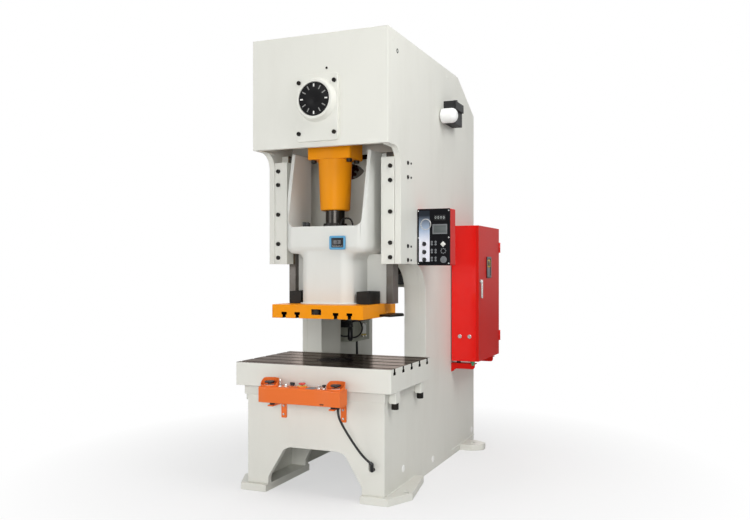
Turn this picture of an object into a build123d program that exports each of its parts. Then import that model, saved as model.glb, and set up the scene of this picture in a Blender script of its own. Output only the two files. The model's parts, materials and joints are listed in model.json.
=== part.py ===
"""Gap-frame mechanical stamping press of about 110 tonnes, in millimetres.

The frame stands on the floor at Z = 0 with its front facing -Y. The origin is the centre of the
rectangle of the four floor anchor holes. The slide rests at the bottom of its stroke.
"""
import os
from math import cos, pi, radians, sin, sqrt, tan

from build123d import *

os.makedirs("parts", exist_ok=True)

# Clearances between pieces
running_gap = 0.1
free_gap = 0.3

# Heights, stacked from the floor up to the roof
bed_top = 662.0
bolster_thickness = 144.0
shut_height = 280.0
plate_thickness = 84.0
ball_height = 280.0
rod_length = 895.0
stroke = 180.0
head_room = 415.0
head_depth = 285.0
guide_length = 726.0
bolster_top = bed_top + bolster_thickness
plate_bottom = bolster_top + shut_height
plate_top = plate_bottom + plate_thickness
ball_z = plate_top + ball_height
pin_z = ball_z + rod_length
crank_z = pin_z + stroke / 2
frame_height = crank_z + head_room
head_bottom = crank_z - head_depth
guide_bottom = head_bottom - guide_length

# Welded frame
frame_width = 940.0
side_thickness = 40.0
frame_rear = 995.0
slope_start = 568.0
slope_end = frame_height - 220.0
head_front = -810.0
head_plate = 30.0
head_fillet = 100.0
guide_front = -608.0
throat_back = -158.0
throat_radius = 200.0
base_front = -866.0
wall = 30.0

# Base
bed_thickness = 59.0
bed_overhang = 10.0
bed_nose = 16.0
bed_hole = 80.0
base_plate = 40.0
arch_height = 287.0
arch_top_half = 165.0
arch_foot_half = 322.0
arch_foot_height = 90.0
arch_shoulder = 45.0
arch_shoulder_drop = 15.0
knee_round = 60.0
shoulder_round = 40.0
leg_depth = 520.0
foot_thickness = 45.0
front_foot_length = 540.0
front_foot_reach = 120.0
rear_foot_length = 180.0
rear_foot_reach = 170.0
anchor_x = 550.0
anchor_y = 710.0
anchor_hole = 34.0
cable_hole_x = 378.0
cable_hole_z = 214.0
cable_slot_length = 52.0
cable_slot_width = 22.0

# Columns behind the throat
column_width = 153.0
flange = 40.0
column_web = 20.0
column_web_depth = 310.0

# Ram line and crank
ram_y = -572.0
die_height_adjustment = 80.0
journal = 140.0
crank_pin_diameter = 180.0
web_thickness = 45.0
web_radius = 115.0
bush_wall = 10.0
dial_stub = 60.0

# Connecting rod
rod_width = 200.0
rod_block_half = 152.0
rod_block_bottom = crank_z - 341.0
rod_top_diameter = 218.0
rod_end_diameter = 192.0
rod_end_z = ball_z + 318.0
rod_bolt_x = 126.0
rod_bolt_y = 55.0
rod_bolt = 27.0
rod_bolt_head = 36.0
rod_bolt_head_height = 20.0
rod_nut = 48.0
rod_nut_height = 22.0
cap_radius = 150.0
cap_shoulder = 60.0

# Ball screw between rod and slide
screw_diameter = 124.0
screw_top = ball_z + 510.0
screw_thread_room = 10.0
collar_diameter = 176.0
collar_top_diameter = 152.0
collar_height = 85.0
ball_diameter = 190.0

# Slide
rail_inner = 330.0
rail_width = 48.0
rail_front = 65.0
rail_depth = 89.0
slide_top = head_bottom - 10.0
pocket_half = 258.0
pocket_wall = 24.0
pocket_front = -168.0
pocket_rim = plate_top + 491.0
pocket_bottom = plate_top + 320.0
pocket_floor = plate_top + 430.0
side_top_front = -63.0
pocket_corner = 60.0
pocket_edge = 50.0
well_corner = 45.0
slide_web = 45.0
barrel_half = 178.0
barrel_reach = 158.0
barrel_corner = 70.0
barrel_blend = 40.0
barrel_foot = 16.0
barrel_foot_height = 8.0
counter_x = 102.0
counter_z = pocket_bottom + 66.0
counter_size = (108.0, 84.0)
counter_frame = 15.0
counter_depth = 7.0
switch_x = (-150.0, -102.0)
switch_height = 28.0
seat_bore = 240.0
seat_wall = 20.0

# Slide plate
plate_half = 315.0
plate_depth = 526.0
plate_slot_x = (133.0, 226.0)
shank_diameter = 50.0
shank_depth = 70.0
clamp_width = 66.0
clamp_height = 34.0
clamp_recess = 14.0
clamp_z = plate_bottom + 41.0
clamp_screw = 24.0
tray_front_reach = 98.0
tray_rear_reach = 77.0
tray_width = 86.0
tray_height = 80.0
tray_wall = 4.0
tray_well = 30.0
tray_corner = 25.0
wing_reach = 125.0
wing_thickness = 14.0
wing_rise = 6.0

# Bolster
bolster_overhang = 60.0
bolster_width = frame_width + 2 * bolster_overhang
bolster_depth = 680.0
slot_pitch = 141.0
slot_count = 5
slot_neck = 22.0
slot_neck_depth = 22.0
slot_foot = 37.0
slot_foot_depth = 16.0
disc_diameter = 240.0
disc_thickness = 20.0
knockout_diameter = 60.0
lug_width = 70.0
lug_inset = 5.0
lug_offset = 215.0
lug_height = 70.0
lug_bolt = 24.0
lug_bolt_head = 44.0
lug_bolt_head_height = 38.0
lug_bolt_offset = 25.0
lug_bolt_grip = 40.0

# Guides
gib_inner = 337.0
gib_outer = 428.0
gib_top = head_bottom - 55.0
liner = 15.0
side_liner = 8.0
gib_bolt_x = 401.0
gib_bolt_levels = [guide_bottom + rise for rise in (42.0, 133.0, 327.0, 523.0, 613.0)]
guide_block_rear = 44.0
gib_bolt = 18.0
gib_bolt_head = 27.0
gib_bolt_head_height = 12.0
gib_bolt_grip = 40.0
adjuster_levels = [guide_bottom + rise for rise in (26.0, 114.0, 552.0, 643.0)]
adjuster_diameter = 14.0
adjuster_head = 24.0
adjuster_head_height = 8.0
adjuster_y = -488.0

# Crank gear and pinion
gear_module = 12.0
gear_teeth = 54
pinion_teeth = 12
gear_width = 110.0
gear_front = -130.0
gear_recess = 35.0
clutch_diameter = 420.0
clutch_thickness = 28.0
shaft_tail = 60.0
drive_front_y = 50.0
drive_rear_y = 390.0
shaft_diameter = 90.0
pinion_shaft_front = -142.0

# Electrical cabinet and control panel on the right side
cabinet_gap = 8.0
cabinet_depth = 206.0
cabinet_front = 390.0
cabinet_width = 597.0
cabinet_bottom = 712.0
cabinet_height = 998.0
cabinet_sheet = 3.0
cabinet_top = cabinet_bottom + cabinet_height
door_depth = 20.0
hinge_diameter = 10.0
hinge_pin = 6.0
hinge_length = 40.0
hinge_levels = (cabinet_bottom + 148.0, cabinet_top - 150.0)
window_y = (604.0, 723.0)
window_z = (cabinet_top - 387.0, cabinet_top - 229.0)
window_frame = 12.0
window_rise = 6.0
handle_y = cabinet_front + 35.0
handle_z = cabinet_top - 410.0
handle_length = 126.0
handle_hub = 30.0
handle_width = 18.0
handle_lift = 12.0
bracket_width = 60.0
bracket_thickness = 6.0
bracket_drop = 64.0
bracket_gusset = 40.0
bracket_inset = 24.0
bracket_margin = 12.0
panel_width = 228.0
panel_front = -314.0
panel_depth = 104.0
panel_bottom = guide_bottom - 9.0
panel_height = 370.0
panel_face_depth = 5.0
selector_x = 521.0
selector_levels = [panel_bottom + rise for rise in (140.0, 88.0, 38.0)]
selector_diameter = 26.0
selector_length = 20.0
selector_stem = 12.0

# Air valve, silencer and lubricator
valve_reach = 75.0
valve_y = (225.0, 434.0)
valve_z = (frame_height - 410.0, frame_height - 250.0)
coil_rise = 16.0
coil_height = 60.0
valve_cap = 36.0
valve_cap_height = 34.0
silencer_y = 163.0
silencer_z = frame_height - 369.0
silencer_radius = 52.0
silencer_length = 110.0
silencer_collar = 14.0
lubricator_depth = 134.0
lubricator_y = (342.0, 636.0)
lubricator_z = (827.0, 981.0)
sight_tube = 40.0
sight_tube_height = 105.0
pump_cap = 60.0
pump_cap_height = 24.0

# Two-hand station in front of the bolster
station_half = 272.0
station_depth = 100.0
station_gap = 48.0
station_front = ram_y - bolster_depth / 2 - station_gap - station_depth
station_bottom = bed_top - 69.0
station_height = 94.0
station_arm_x = 205.0
arm_width = 36.0
arm_thickness = 8.0
arm_drop = 105.0
mount_diameter = 30.0
mount_height = 18.0
palm_x = 222.0
palm_diameter = 62.0
palm_base = 46.0
palm_base_height = 8.0
palm_stem = 20.0
palm_well = 30.0
palm_travel = 5.0
palm_cap_height = 18.0
guard_width = 116.0
guard_depth = 96.0
guard_wall = 4.0
guard_height = 46.0
stop_diameter = 40.0
stop_base = 58.0
stop_base_height = 12.0
stop_stem = 14.0
stop_travel = 4.0
stop_cap_height = 14.0
station_selector_x = -66.0
gland_diameter = 22.0
gland_length = 18.0
elbow_standoff = 26.0
elbow_drop = 36.0
elbow_mouth = 16.0
cable_exit_x = 236.0
cable_diameter = 14.0

# Dial on the front of the head
cover_size = 290.0
cover_height = 415.0
cover_plate = 20.0
cover_bolt_x = 122.0
cover_bolt_z = 158.0
cover_drop = 46.0
cover_bolt = 16.0
cover_bolt_head = 26.0
cover_bolt_head_height = 12.0
bezel_outer = 270.0
bezel_top = 242.0
bezel_inner = 210.0
bezel_height = 40.0
dial_recess = 2.0
dial_diameter = 206.0
dial_thickness = 8.0

# Flywheel, belts and motor
flywheel_radius = 360.0
flywheel_width = 150.0
flywheel_front = 450.0
rim_width = 110.0
motor_z = 1420.0
motor_pulley_radius = 75.0
motor_radius = 135.0
motor_length = 330.0
motor_shaft = 42.0
motor_fins = 20
motor_fin_width = 7.0
motor_fin_height = 8.0
motor_bell = 30.0
motor_foot_inner = 60.0
motor_foot_outer = 130.0
terminal_reach = 75.0
terminal_half = 45.0
belt_count = 4
belt_pitch = 26.0
belt_width = 17.0
belt_height = 14.0

half = frame_width / 2
inner = half - side_thickness
cover_z = crank_z - cover_drop
rail_outer = rail_inner + rail_width + running_gap
rail_back = ram_y + rail_front + rail_depth + running_gap
door_pivot_x = half + cabinet_gap + cabinet_depth + 4
door_pivot_y = cabinet_front + cabinet_width + 5


def slab(x_limits, y_limits, z_limits, mode=Mode.ADD):
    """Adds or cuts a straight-sided block between pairs of limits."""
    low = Vector(x_limits[0], y_limits[0], z_limits[0])
    high = Vector(x_limits[1], y_limits[1], z_limits[1])
    with Locations((low + high) * 0.5):
        Box(high.X - low.X, high.Y - low.Y, high.Z - low.Z, mode=mode)


def round_bar(diameter, start, length, direction=(0, 0, 1), mode=Mode.ADD):
    """Adds or cuts a cylinder from a start point along a direction."""
    with Locations(Plane(start, z_dir=direction)):
        Cylinder(diameter / 2, length, align=(Align.CENTER, Align.CENTER, Align.MIN), mode=mode)


def socket_screw(head, head_height, shank, length):
    """Adds a socket screw whose head stands on the local XY plane, its shank below."""
    with Locations((0, 0, head_height / 2)):
        Cylinder(head / 2, head_height)
    with Locations((0, 0, -length / 2)):
        Cylinder(shank / 2, length)


def mirrored(side, near, far):
    """The limits in X of a piece between two distances from the middle, on one side."""
    return tuple(sorted((side * near, side * far)))


def finish(builder, name):
    """Labels a finished piece and writes it out under its name."""
    builder.part.label = name
    export_step(builder.part, f"parts/{name}.step")


# Side plates with the C-shaped throat
with BuildPart() as side_plates:
    for plane_x in (-half, inner):
        with BuildSketch(Plane.YZ.offset(plane_x)) as outline:
            with BuildLine():
                Polyline(
                    (head_front + head_plate, frame_height),
                    (slope_start, frame_height),
                    (frame_rear, slope_end),
                    (frame_rear, 0),
                    (base_front + front_foot_length, 0),
                    (base_front + front_foot_length, foot_thickness),
                    (base_front + base_plate, foot_thickness),
                    (base_front + base_plate, bed_top - bed_thickness),
                    (throat_back, bed_top - bed_thickness),
                    (throat_back, guide_bottom),
                    (guide_front, guide_bottom),
                    (guide_front, head_bottom),
                    (head_front + head_plate, head_bottom),
                    close=True,
                )
            make_face()
            throat_corner = outline.vertices().sort_by_distance((throat_back, guide_bottom))[0]
            fillet(throat_corner, throat_radius)
            head_corner = outline.vertices().sort_by_distance((guide_front, head_bottom))[0]
            fillet(head_corner, head_fillet)
        extrude(amount=side_thickness)
        for level in adjuster_levels:
            round_bar(adjuster_diameter, (plane_x, adjuster_y, level), side_thickness, (1, 0, 0),
                      Mode.SUBTRACT)
finish(side_plates, "side_plates")

# Head front plate with the front crank bearing housing behind it
housing_diameter = journal + 2 * bush_wall + 100
front_web_front = ram_y - rod_width / 2 - free_gap - web_thickness
housing_end = front_web_front - 3
with BuildPart() as head_front_plate:
    slab((-half, half), (head_front, head_front + head_plate), (head_bottom, frame_height))
    round_bar(housing_diameter, (0, head_front + head_plate, crank_z), housing_end - head_front - head_plate,
              (0, 1, 0))
    round_bar(journal + 2 * bush_wall, (0, head_front, crank_z), housing_end - head_front, (0, 1, 0),
              Mode.SUBTRACT)
    fillet(head_front_plate.edges().filter_by(Axis.Z).group_by(Axis.Y)[0], 4)
    for side in (-1, 1):
        for rise in (-cover_bolt_z, cover_bolt_z):
            round_bar(cover_bolt, (side * cover_bolt_x, head_front, cover_z + rise), head_plate, (0, 1, 0),
                      Mode.SUBTRACT)
finish(head_front_plate, "head_front_plate")

# Roof of the head: a flat top bent down along the rear slope
with BuildPart() as head_roof:
    with BuildSketch(Plane.YZ.offset(-inner)):
        with BuildLine():
            roof_line = Polyline(
                (head_front + head_plate, frame_height),
                (slope_start, frame_height),
                (frame_rear, slope_end),
            )
            offset(roof_line, wall, side=Side.RIGHT)
        make_face()
    extrude(amount=2 * inner)
finish(head_roof, "head_roof")

# Walls, shelf and guide blocks welded between the side plates
rear_web_rear = ram_y + rod_width / 2 + free_gap + web_thickness
crank_wall_front = rear_web_rear + 52
bearing_bore = journal + 2 * bush_wall
pinion_z = crank_z - gear_module * (gear_teeth + pinion_teeth) / 2
pinion_bore = shaft_diameter + 2 * bush_wall
guide_wall_front = -190.0
roof_under = frame_height - wall
shelf_top = motor_z - motor_radius - 20
with BuildPart() as inner_plates:
    slab((-inner, inner), (crank_wall_front, crank_wall_front + 50), (head_bottom + 10, roof_under))
    round_bar(bearing_bore, (0, crank_wall_front, crank_z), 50, (0, 1, 0), Mode.SUBTRACT)
    for wall_y in (drive_front_y, drive_rear_y):
        slab((-inner, inner), (wall_y, wall_y + wall), (guide_bottom, roof_under))
        round_bar(pinion_bore, (0, wall_y, pinion_z), wall, (0, 1, 0), Mode.SUBTRACT)
    round_bar(bearing_bore, (0, drive_front_y, crank_z), wall, (0, 1, 0), Mode.SUBTRACT)
    slab((-inner, inner), (drive_rear_y + wall + 250, frame_rear - 40), (shelf_top - 20, shelf_top))
    slab((-inner, inner), (guide_wall_front, guide_wall_front + wall), (guide_bottom, head_bottom))
    with BuildSketch(Plane.XZ.offset(-guide_wall_front)) as spy_hole:
        with BuildLine():
            ThreePointArc((-182, 2068), (-75, 2122), (32, 2068))
            ThreePointArc((32, 2068), (-75, 2014), (-182, 2068))
        make_face()
    extrude(amount=-wall, mode=Mode.SUBTRACT)
    for side in (-1, 1):
        with BuildSketch(Plane.XY.offset(guide_bottom)):
            with BuildLine():
                Polyline(
                    (side * inner, ram_y + rail_front),
                    (side * (rail_outer + side_liner), ram_y + rail_front),
                    (side * (rail_outer + side_liner), rail_back + liner),
                    (side * gib_inner, rail_back + liner),
                    (side * gib_inner, rail_back + liner + guide_block_rear),
                    (side * inner, rail_back + liner + guide_block_rear),
                    close=True,
                )
            make_face()
        extrude(amount=head_bottom - guide_bottom)
        for level in gib_bolt_levels:
            round_bar(gib_bolt, (side * gib_bolt_x, ram_y + rail_front, level), gib_bolt_grip + 5, (0, 1, 0),
                      Mode.SUBTRACT)
        for level in adjuster_levels:
            round_bar(adjuster_diameter, (side * inner, adjuster_y, level), inner - rail_outer - side_liner,
                      (-side, 0, 0), Mode.SUBTRACT)
finish(inner_plates, "inner_plates")

# Louvred cover over the back of the drive
cover_bottom = 1500.0
cover_thickness = 4.0
louvre_count = 9
with BuildPart() as rear_cover:
    slab((-inner, inner), (frame_rear - 40, frame_rear - 40 + cover_thickness),
         (cover_bottom, slope_end - 60))
    for index in range(louvre_count):
        level = cover_bottom + 150 + 60 * index
        slab((-220, 220), (frame_rear - 40 - 1, frame_rear - 40 + cover_thickness + 1), (level, level + 14),
             Mode.SUBTRACT)
finish(rear_cover, "rear_cover")

# Columns: a flange that follows the curve of the throat and a web behind it, one each side
arc_bottom = guide_bottom - throat_radius
arc_front = throat_back - throat_radius
flange_start = half - column_width
with BuildPart() as columns:
    for side in (-1, 1):
        with BuildSketch(Plane.YZ.offset(flange_start if side > 0 else -inner)):
            with BuildLine():
                Line((throat_back, bed_top), (throat_back, arc_bottom))
                RadiusArc((throat_back, arc_bottom), (arc_front, guide_bottom), -throat_radius)
                Line((arc_front, guide_bottom), (arc_front, guide_bottom + flange))
                RadiusArc((arc_front, guide_bottom + flange), (throat_back + flange, arc_bottom),
                          throat_radius + flange)
                Line((throat_back + flange, arc_bottom), (throat_back + flange, bed_top))
                Line((throat_back + flange, bed_top), (throat_back, bed_top))
            make_face()
        extrude(amount=inner - flange_start)
        slab(mirrored(side, flange_start, flange_start + column_web),
             (throat_back + flange, throat_back + column_web_depth), (bed_top, arc_bottom))
finish(columns, "columns")

# Bed plate, proud of the base at the front and sides
with BuildPart() as bed_plate:
    slab((-half - bed_overhang, half + bed_overhang), (base_front - bed_nose, throat_back),
         (bed_top - bed_thickness, bed_top))
    slab((-inner, inner), (throat_back, throat_back + column_web_depth + flange),
         (bed_top - bed_thickness, bed_top))
    round_bar(bed_hole, (0, ram_y, bed_top - bed_thickness), bed_thickness, mode=Mode.SUBTRACT)
finish(bed_plate, "bed_plate")

leg_top = bed_top - bed_thickness
leg_back = base_front + leg_depth


def arched_plate(front, reach):
    """Adds an upright plate across the base from its front face back, with the arch between the legs."""
    shoulder_x = arch_top_half + arch_shoulder
    shoulder_z = arch_height - arch_shoulder_drop
    right_side = [
        (arch_top_half, arch_height),
        (shoulder_x, shoulder_z),
        (arch_foot_half, arch_foot_height),
        (arch_foot_half, foot_thickness),
        (reach, foot_thickness),
        (reach, leg_top),
    ]
    left_side = [(-x, z) for x, z in reversed(right_side)]
    with BuildSketch(Plane.XZ.offset(-front)) as outline:
        with BuildLine():
            Polyline(*left_side, *right_side, close=True)
        make_face()
        for side in (-1, 1):
            knee = (side * arch_foot_half, arch_foot_height)
            fillet(outline.vertices().sort_by_distance(knee)[0], knee_round)
            fillet(outline.vertices().sort_by_distance((side * shoulder_x, shoulder_z))[0], shoulder_round)
    extrude(outline.sketch, amount=-base_plate)


# Base front plate, with a slot for the cable
with BuildPart() as base_front_plate:
    arched_plate(base_front, half)
    with BuildSketch(Plane.XZ.offset(-base_front)):
        with Locations((cable_hole_x, cable_hole_z)):
            SlotOverall(cable_slot_length, cable_slot_width, rotation=90)
    extrude(amount=-base_plate, mode=Mode.SUBTRACT)
finish(base_front_plate, "base_front_plate")

# Plates inside the base: an arched one behind the legs, and two cross plates further back
with BuildPart() as base_webs:
    arched_plate(leg_back - base_plate, inner)
    slab((-inner, inner), (throat_back - 50, throat_back - 50 + wall), (arch_height + 20, leg_top))
    slab((-inner, inner), (frame_rear - wall, frame_rear), (foot_thickness, leg_top))
finish(base_webs, "base_webs")

# Feet: two front plates that reach outwards and two rounded rear ones
with BuildPart() as feet:
    for side in (-1, 1):
        with BuildSketch():
            with BuildLine():
                Polyline(
                    (side * arch_foot_half, base_front - 30),
                    (side * (half + 32), base_front - 30),
                    (side * (half + front_foot_reach), base_front + 150),
                    (side * (half + 50), base_front + front_foot_length),
                    (side * arch_foot_half, base_front + front_foot_length),
                    close=True,
                )
            make_face()
            with Locations((side * anchor_x, -anchor_y)):
                Circle(anchor_hole / 2, mode=Mode.SUBTRACT)
        extrude(amount=foot_thickness)
        with BuildSketch() as rear_foot:
            with BuildLine():
                Polyline(
                    (side * half, anchor_y - rear_foot_length / 2),
                    (side * (half + rear_foot_reach * 0.55), anchor_y - rear_foot_length / 2),
                    (side * (half + rear_foot_reach), anchor_y - rear_foot_length / 5),
                    (side * (half + rear_foot_reach), anchor_y + rear_foot_length / 5),
                    (side * (half + rear_foot_reach * 0.45), anchor_y + rear_foot_length / 2),
                    (side * half, anchor_y + rear_foot_length / 2),
                    close=True,
                )
            make_face()
            outer_corners = rear_foot.vertices().sort_by(Axis.X)
            fillet(outer_corners[-4:] if side > 0 else outer_corners[:4], 28)
            with Locations((side * anchor_x, anchor_y)):
                Circle(anchor_hole / 2, mode=Mode.SUBTRACT)
        extrude(amount=foot_thickness)
finish(feet, "feet")

# Front gibs that hold the slide rails back
gib_rear = ram_y + rail_front - running_gap
gib_depth = ram_y + rail_front - guide_front
with BuildPart() as front_gibs:
    for side in (-1, 1):
        slab(mirrored(side, gib_inner, gib_outer), (guide_front, gib_rear - liner), (guide_bottom, gib_top))
        slab(mirrored(side, rail_outer + side_liner, gib_outer), (gib_rear - liner, ram_y + rail_front),
             (guide_bottom, gib_top))
        for level in gib_bolt_levels:
            round_bar(gib_bolt + 2, (side * gib_bolt_x, guide_front, level), gib_depth, (0, 1, 0),
                      Mode.SUBTRACT)
finish(front_gibs, "front_gibs")

# Bronze wear strips on the front, outer and rear faces of the guides
with BuildPart() as gib_liners:
    for side in (-1, 1):
        rail_x = mirrored(side, gib_inner, rail_inner + rail_width)
        outer_x = mirrored(side, rail_outer, rail_outer + side_liner)
        slab(rail_x, (gib_rear - liner, gib_rear), (guide_bottom, gib_top))
        slab(outer_x, (ram_y + rail_front, rail_back), (guide_bottom, head_bottom))
        slab(rail_x, (rail_back, rail_back + liner), (guide_bottom, head_bottom))
finish(gib_liners, "gib_liners")

# Bolster plate with T-slots from side to side and a bored centre
slot_first = ram_y - slot_pitch * (slot_count - 1) / 2
slot_rows = [slot_first + slot_pitch * index for index in range(slot_count)]
bolster_front = ram_y - bolster_depth / 2
bolster_rear = ram_y + bolster_depth / 2
foot_top = bolster_top - slot_neck_depth
lug_rows = (ram_y - lug_offset, ram_y + lug_offset)
lug_start = half + bed_overhang
with BuildPart() as bolster_plate:
    slab((-bolster_width / 2, bolster_width / 2), (bolster_front, bolster_rear), (bed_top, bolster_top))
    chamfer(bolster_plate.edges().filter_by(Axis.Z), 6)
    for row in slot_rows:
        slab((-bolster_width, bolster_width), (row - slot_neck / 2, row + slot_neck / 2),
             (foot_top, bolster_top), Mode.SUBTRACT)
        slab((-bolster_width, bolster_width), (row - slot_foot / 2, row + slot_foot / 2),
             (foot_top - slot_foot_depth, foot_top), Mode.SUBTRACT)
    round_bar(disc_diameter, (0, ram_y, bolster_top - disc_thickness), disc_thickness, mode=Mode.SUBTRACT)
    round_bar(knockout_diameter, (0, ram_y, bed_top), bolster_top - bed_top, mode=Mode.SUBTRACT)
    for side in (-1, 1):
        for row in lug_rows:
            round_bar(lug_bolt, (side * (lug_start + lug_bolt_offset), row, bed_top), lug_bolt_grip + 5,
                      mode=Mode.SUBTRACT)
finish(bolster_plate, "bolster_plate")

# Centre disc that closes the bolster bore, with its knock-out hole
with BuildPart() as bolster_disc:
    round_bar(disc_diameter - 2 * running_gap, (0, ram_y, bolster_top - disc_thickness), disc_thickness)
    round_bar(knockout_diameter, (0, ram_y, bed_top), bolster_top - bed_top, mode=Mode.SUBTRACT)
finish(bolster_disc, "bolster_disc")

# Hold-down lugs under the overhang of the bolster
with BuildPart() as bolster_lugs:
    for side in (-1, 1):
        for row in lug_rows:
            slab(mirrored(side, lug_start, bolster_width / 2 - lug_inset),
                 (row - lug_width / 2, row + lug_width / 2), (bed_top - lug_height, bed_top))
    fillet(bolster_lugs.edges().filter_by(Axis.Z), 5)
    for side in (-1, 1):
        for row in lug_rows:
            round_bar(lug_bolt + 1, (side * (lug_start + lug_bolt_offset), row, bed_top - lug_height),
                      lug_height, mode=Mode.SUBTRACT)
finish(bolster_lugs, "bolster_lugs")

# Cover around the dial with its raised bezel
cover_face = head_front - cover_plate
dial_face = cover_face - bezel_height + dial_recess
with BuildPart() as dial_cover:
    with BuildSketch(Plane.XZ.offset(-head_front)):
        with Locations((0, cover_z)):
            RectangleRounded(cover_size, cover_height, 22)
    extrude(amount=cover_plate)
    with Locations(Plane((0, cover_face - bezel_height / 2, crank_z), z_dir=(0, -1, 0))):
        Cone(bezel_outer / 2, bezel_top / 2, bezel_height)
    round_bar(bezel_inner, (0, cover_face - bezel_height, crank_z), bezel_height + cover_plate, (0, 1, 0),
              Mode.SUBTRACT)
    for side in (-1, 1):
        for rise in (-cover_bolt_z, cover_bolt_z):
            round_bar(cover_bolt + 1, (side * cover_bolt_x, cover_face, cover_z + rise), cover_plate,
                      (0, 1, 0), Mode.SUBTRACT)
finish(dial_cover, "dial_cover")

# Socket screws of the frame: front gibs, dial cover, bolster lugs and gib adjusters
with BuildPart() as frame_bolts:
    for side in (-1, 1):
        for level in gib_bolt_levels:
            with Locations(Plane((side * gib_bolt_x, guide_front, level), z_dir=(0, -1, 0))):
                socket_screw(gib_bolt_head, gib_bolt_head_height, gib_bolt, gib_depth + gib_bolt_grip)
        for rise in (-cover_bolt_z, cover_bolt_z):
            with Locations(Plane((side * cover_bolt_x, cover_face, cover_z + rise), z_dir=(0, -1, 0))):
                socket_screw(cover_bolt_head, cover_bolt_head_height, cover_bolt, cover_plate + head_plate)
        for row in lug_rows:
            with Locations(Plane((side * (lug_start + lug_bolt_offset), row, bed_top - lug_height),
                                 z_dir=(0, 0, -1))):
                socket_screw(lug_bolt_head, lug_bolt_head_height, lug_bolt, lug_height + lug_bolt_grip)
        for level in adjuster_levels:
            with Locations(Plane((side * half, adjuster_y, level), z_dir=(side, 0, 0))):
                socket_screw(adjuster_head, adjuster_head_height, adjuster_diameter,
                             half - rail_outer - side_liner)
finish(frame_bolts, "frame_bolts")

# Bushes of the crankshaft and the pinion shaft
with BuildPart() as shaft_bushes:
    for start, length in ((head_front, housing_end - head_front), (crank_wall_front, 50),
                          (drive_front_y, wall)):
        round_bar(bearing_bore, (0, start, crank_z), length, (0, 1, 0))
        round_bar(journal + 2 * running_gap, (0, start, crank_z), length, (0, 1, 0), Mode.SUBTRACT)
    for start in (drive_front_y, drive_rear_y):
        round_bar(pinion_bore, (0, start, pinion_z), wall, (0, 1, 0))
        round_bar(shaft_diameter + 2 * running_gap, (0, start, pinion_z), wall, (0, 1, 0), Mode.SUBTRACT)
finish(shaft_bushes, "shaft_bushes")

# Slide casting: rounded barrel, open pocket with tall side walls, rear web and guide rails
pocket_outer = pocket_half + pocket_wall
pocket_face = ram_y + pocket_front
well_front = pocket_face + pocket_wall
slide_rear = ram_y + rail_front + rail_depth
web_front = slide_rear - slide_web
barrel_front = ram_y - barrel_reach
with BuildPart() as slide_body:
    slab((-pocket_outer, pocket_outer), (pocket_face, slide_rear), (pocket_bottom, slide_top))
    fillet(slide_body.edges().filter_by(Axis.Z).group_by(Axis.Y)[0], pocket_corner)
    fillet(slide_body.faces().sort_by(Axis.Z)[0].edges().sort_by(Axis.Y)[:-1], pocket_edge)
    with BuildSketch(Plane.XY.offset(plate_top)) as barrel_outline:
        with Locations((0, (barrel_front + slide_rear) / 2)):
            Rectangle(2 * barrel_half, slide_rear - barrel_front)
        fillet(barrel_outline.vertices().group_by(Axis.Y)[0], barrel_corner)
    extrude(amount=pocket_floor - plate_top)
    slab((-rail_inner, rail_inner), (web_front, slide_rear), (plate_top, pocket_bottom))
    under_pocket = slide_body.edges().filter_by_position(Axis.Z, pocket_bottom - 1,
                                                         pocket_bottom + pocket_edge / 2)
    around_barrel = under_pocket.filter_by_position(Axis.X, -barrel_half - 1, barrel_half + 1)
    fillet(around_barrel.filter_by_position(Axis.Y, pocket_face, web_front - 1), barrel_blend)
    with BuildSketch(Plane.XY.offset(plate_top)):
        add(barrel_outline.sketch)
        offset(amount=barrel_foot)
    extrude(amount=barrel_foot_height)
    slab((-rail_inner, rail_inner), (slide_rear, slide_rear + barrel_foot), (plate_top, pocket_bottom),
         Mode.SUBTRACT)
    with BuildSketch(Plane.YZ.offset(-pocket_outer)):
        with BuildLine():
            Polyline(
                (pocket_face, pocket_rim),
                (ram_y + side_top_front, slide_top),
                (pocket_face, slide_top),
                close=True,
            )
        make_face()
    extrude(amount=2 * pocket_outer, mode=Mode.SUBTRACT)
    with BuildSketch(Plane.XY.offset(pocket_floor)):
        with Locations((0, (well_front + web_front) / 2)):
            RectangleRounded(2 * pocket_half, web_front - well_front, well_corner)
    extrude(amount=slide_top - pocket_floor, mode=Mode.SUBTRACT)
    with BuildSketch(Plane.XZ.offset(-pocket_face)) as front_opening:
        with Locations((0, slide_top)):
            Rectangle(2 * pocket_half, 2 * (slide_top - pocket_rim))
        fillet(front_opening.vertices().group_by(Axis.Y)[0], well_corner)
    extrude(amount=-(slide_rear - pocket_face), mode=Mode.SUBTRACT)
    for side in (-1, 1):
        slab(mirrored(side, rail_inner, rail_inner + rail_width), (ram_y + rail_front, slide_rear),
             (plate_top, slide_top))
        slab(mirrored(side, pocket_outer, rail_inner), (web_front, slide_rear), (pocket_bottom, slide_top))
    round_bar(seat_bore, (0, ram_y, ball_z - ball_diameter / 2 - seat_wall), pocket_floor, mode=Mode.SUBTRACT)
finish(slide_body, "slide_body")

# Bronze seat under the ball and the ring that holds the ball down
ring_top = pocket_floor
with BuildPart() as ball_seat:
    round_bar(seat_bore, (0, ram_y, ball_z - ball_diameter / 2 - seat_wall), ball_diameter / 2 + seat_wall)
    round_bar(seat_bore, (0, ram_y, ball_z + free_gap), ring_top - ball_z - free_gap)
    with Locations((0, ram_y, ball_z)):
        Sphere(ball_diameter / 2 + running_gap, mode=Mode.SUBTRACT)
    round_bar(screw_diameter + 2, (0, ram_y, ball_z), ring_top - ball_z, mode=Mode.SUBTRACT)
finish(ball_seat, "ball_seat")

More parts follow.
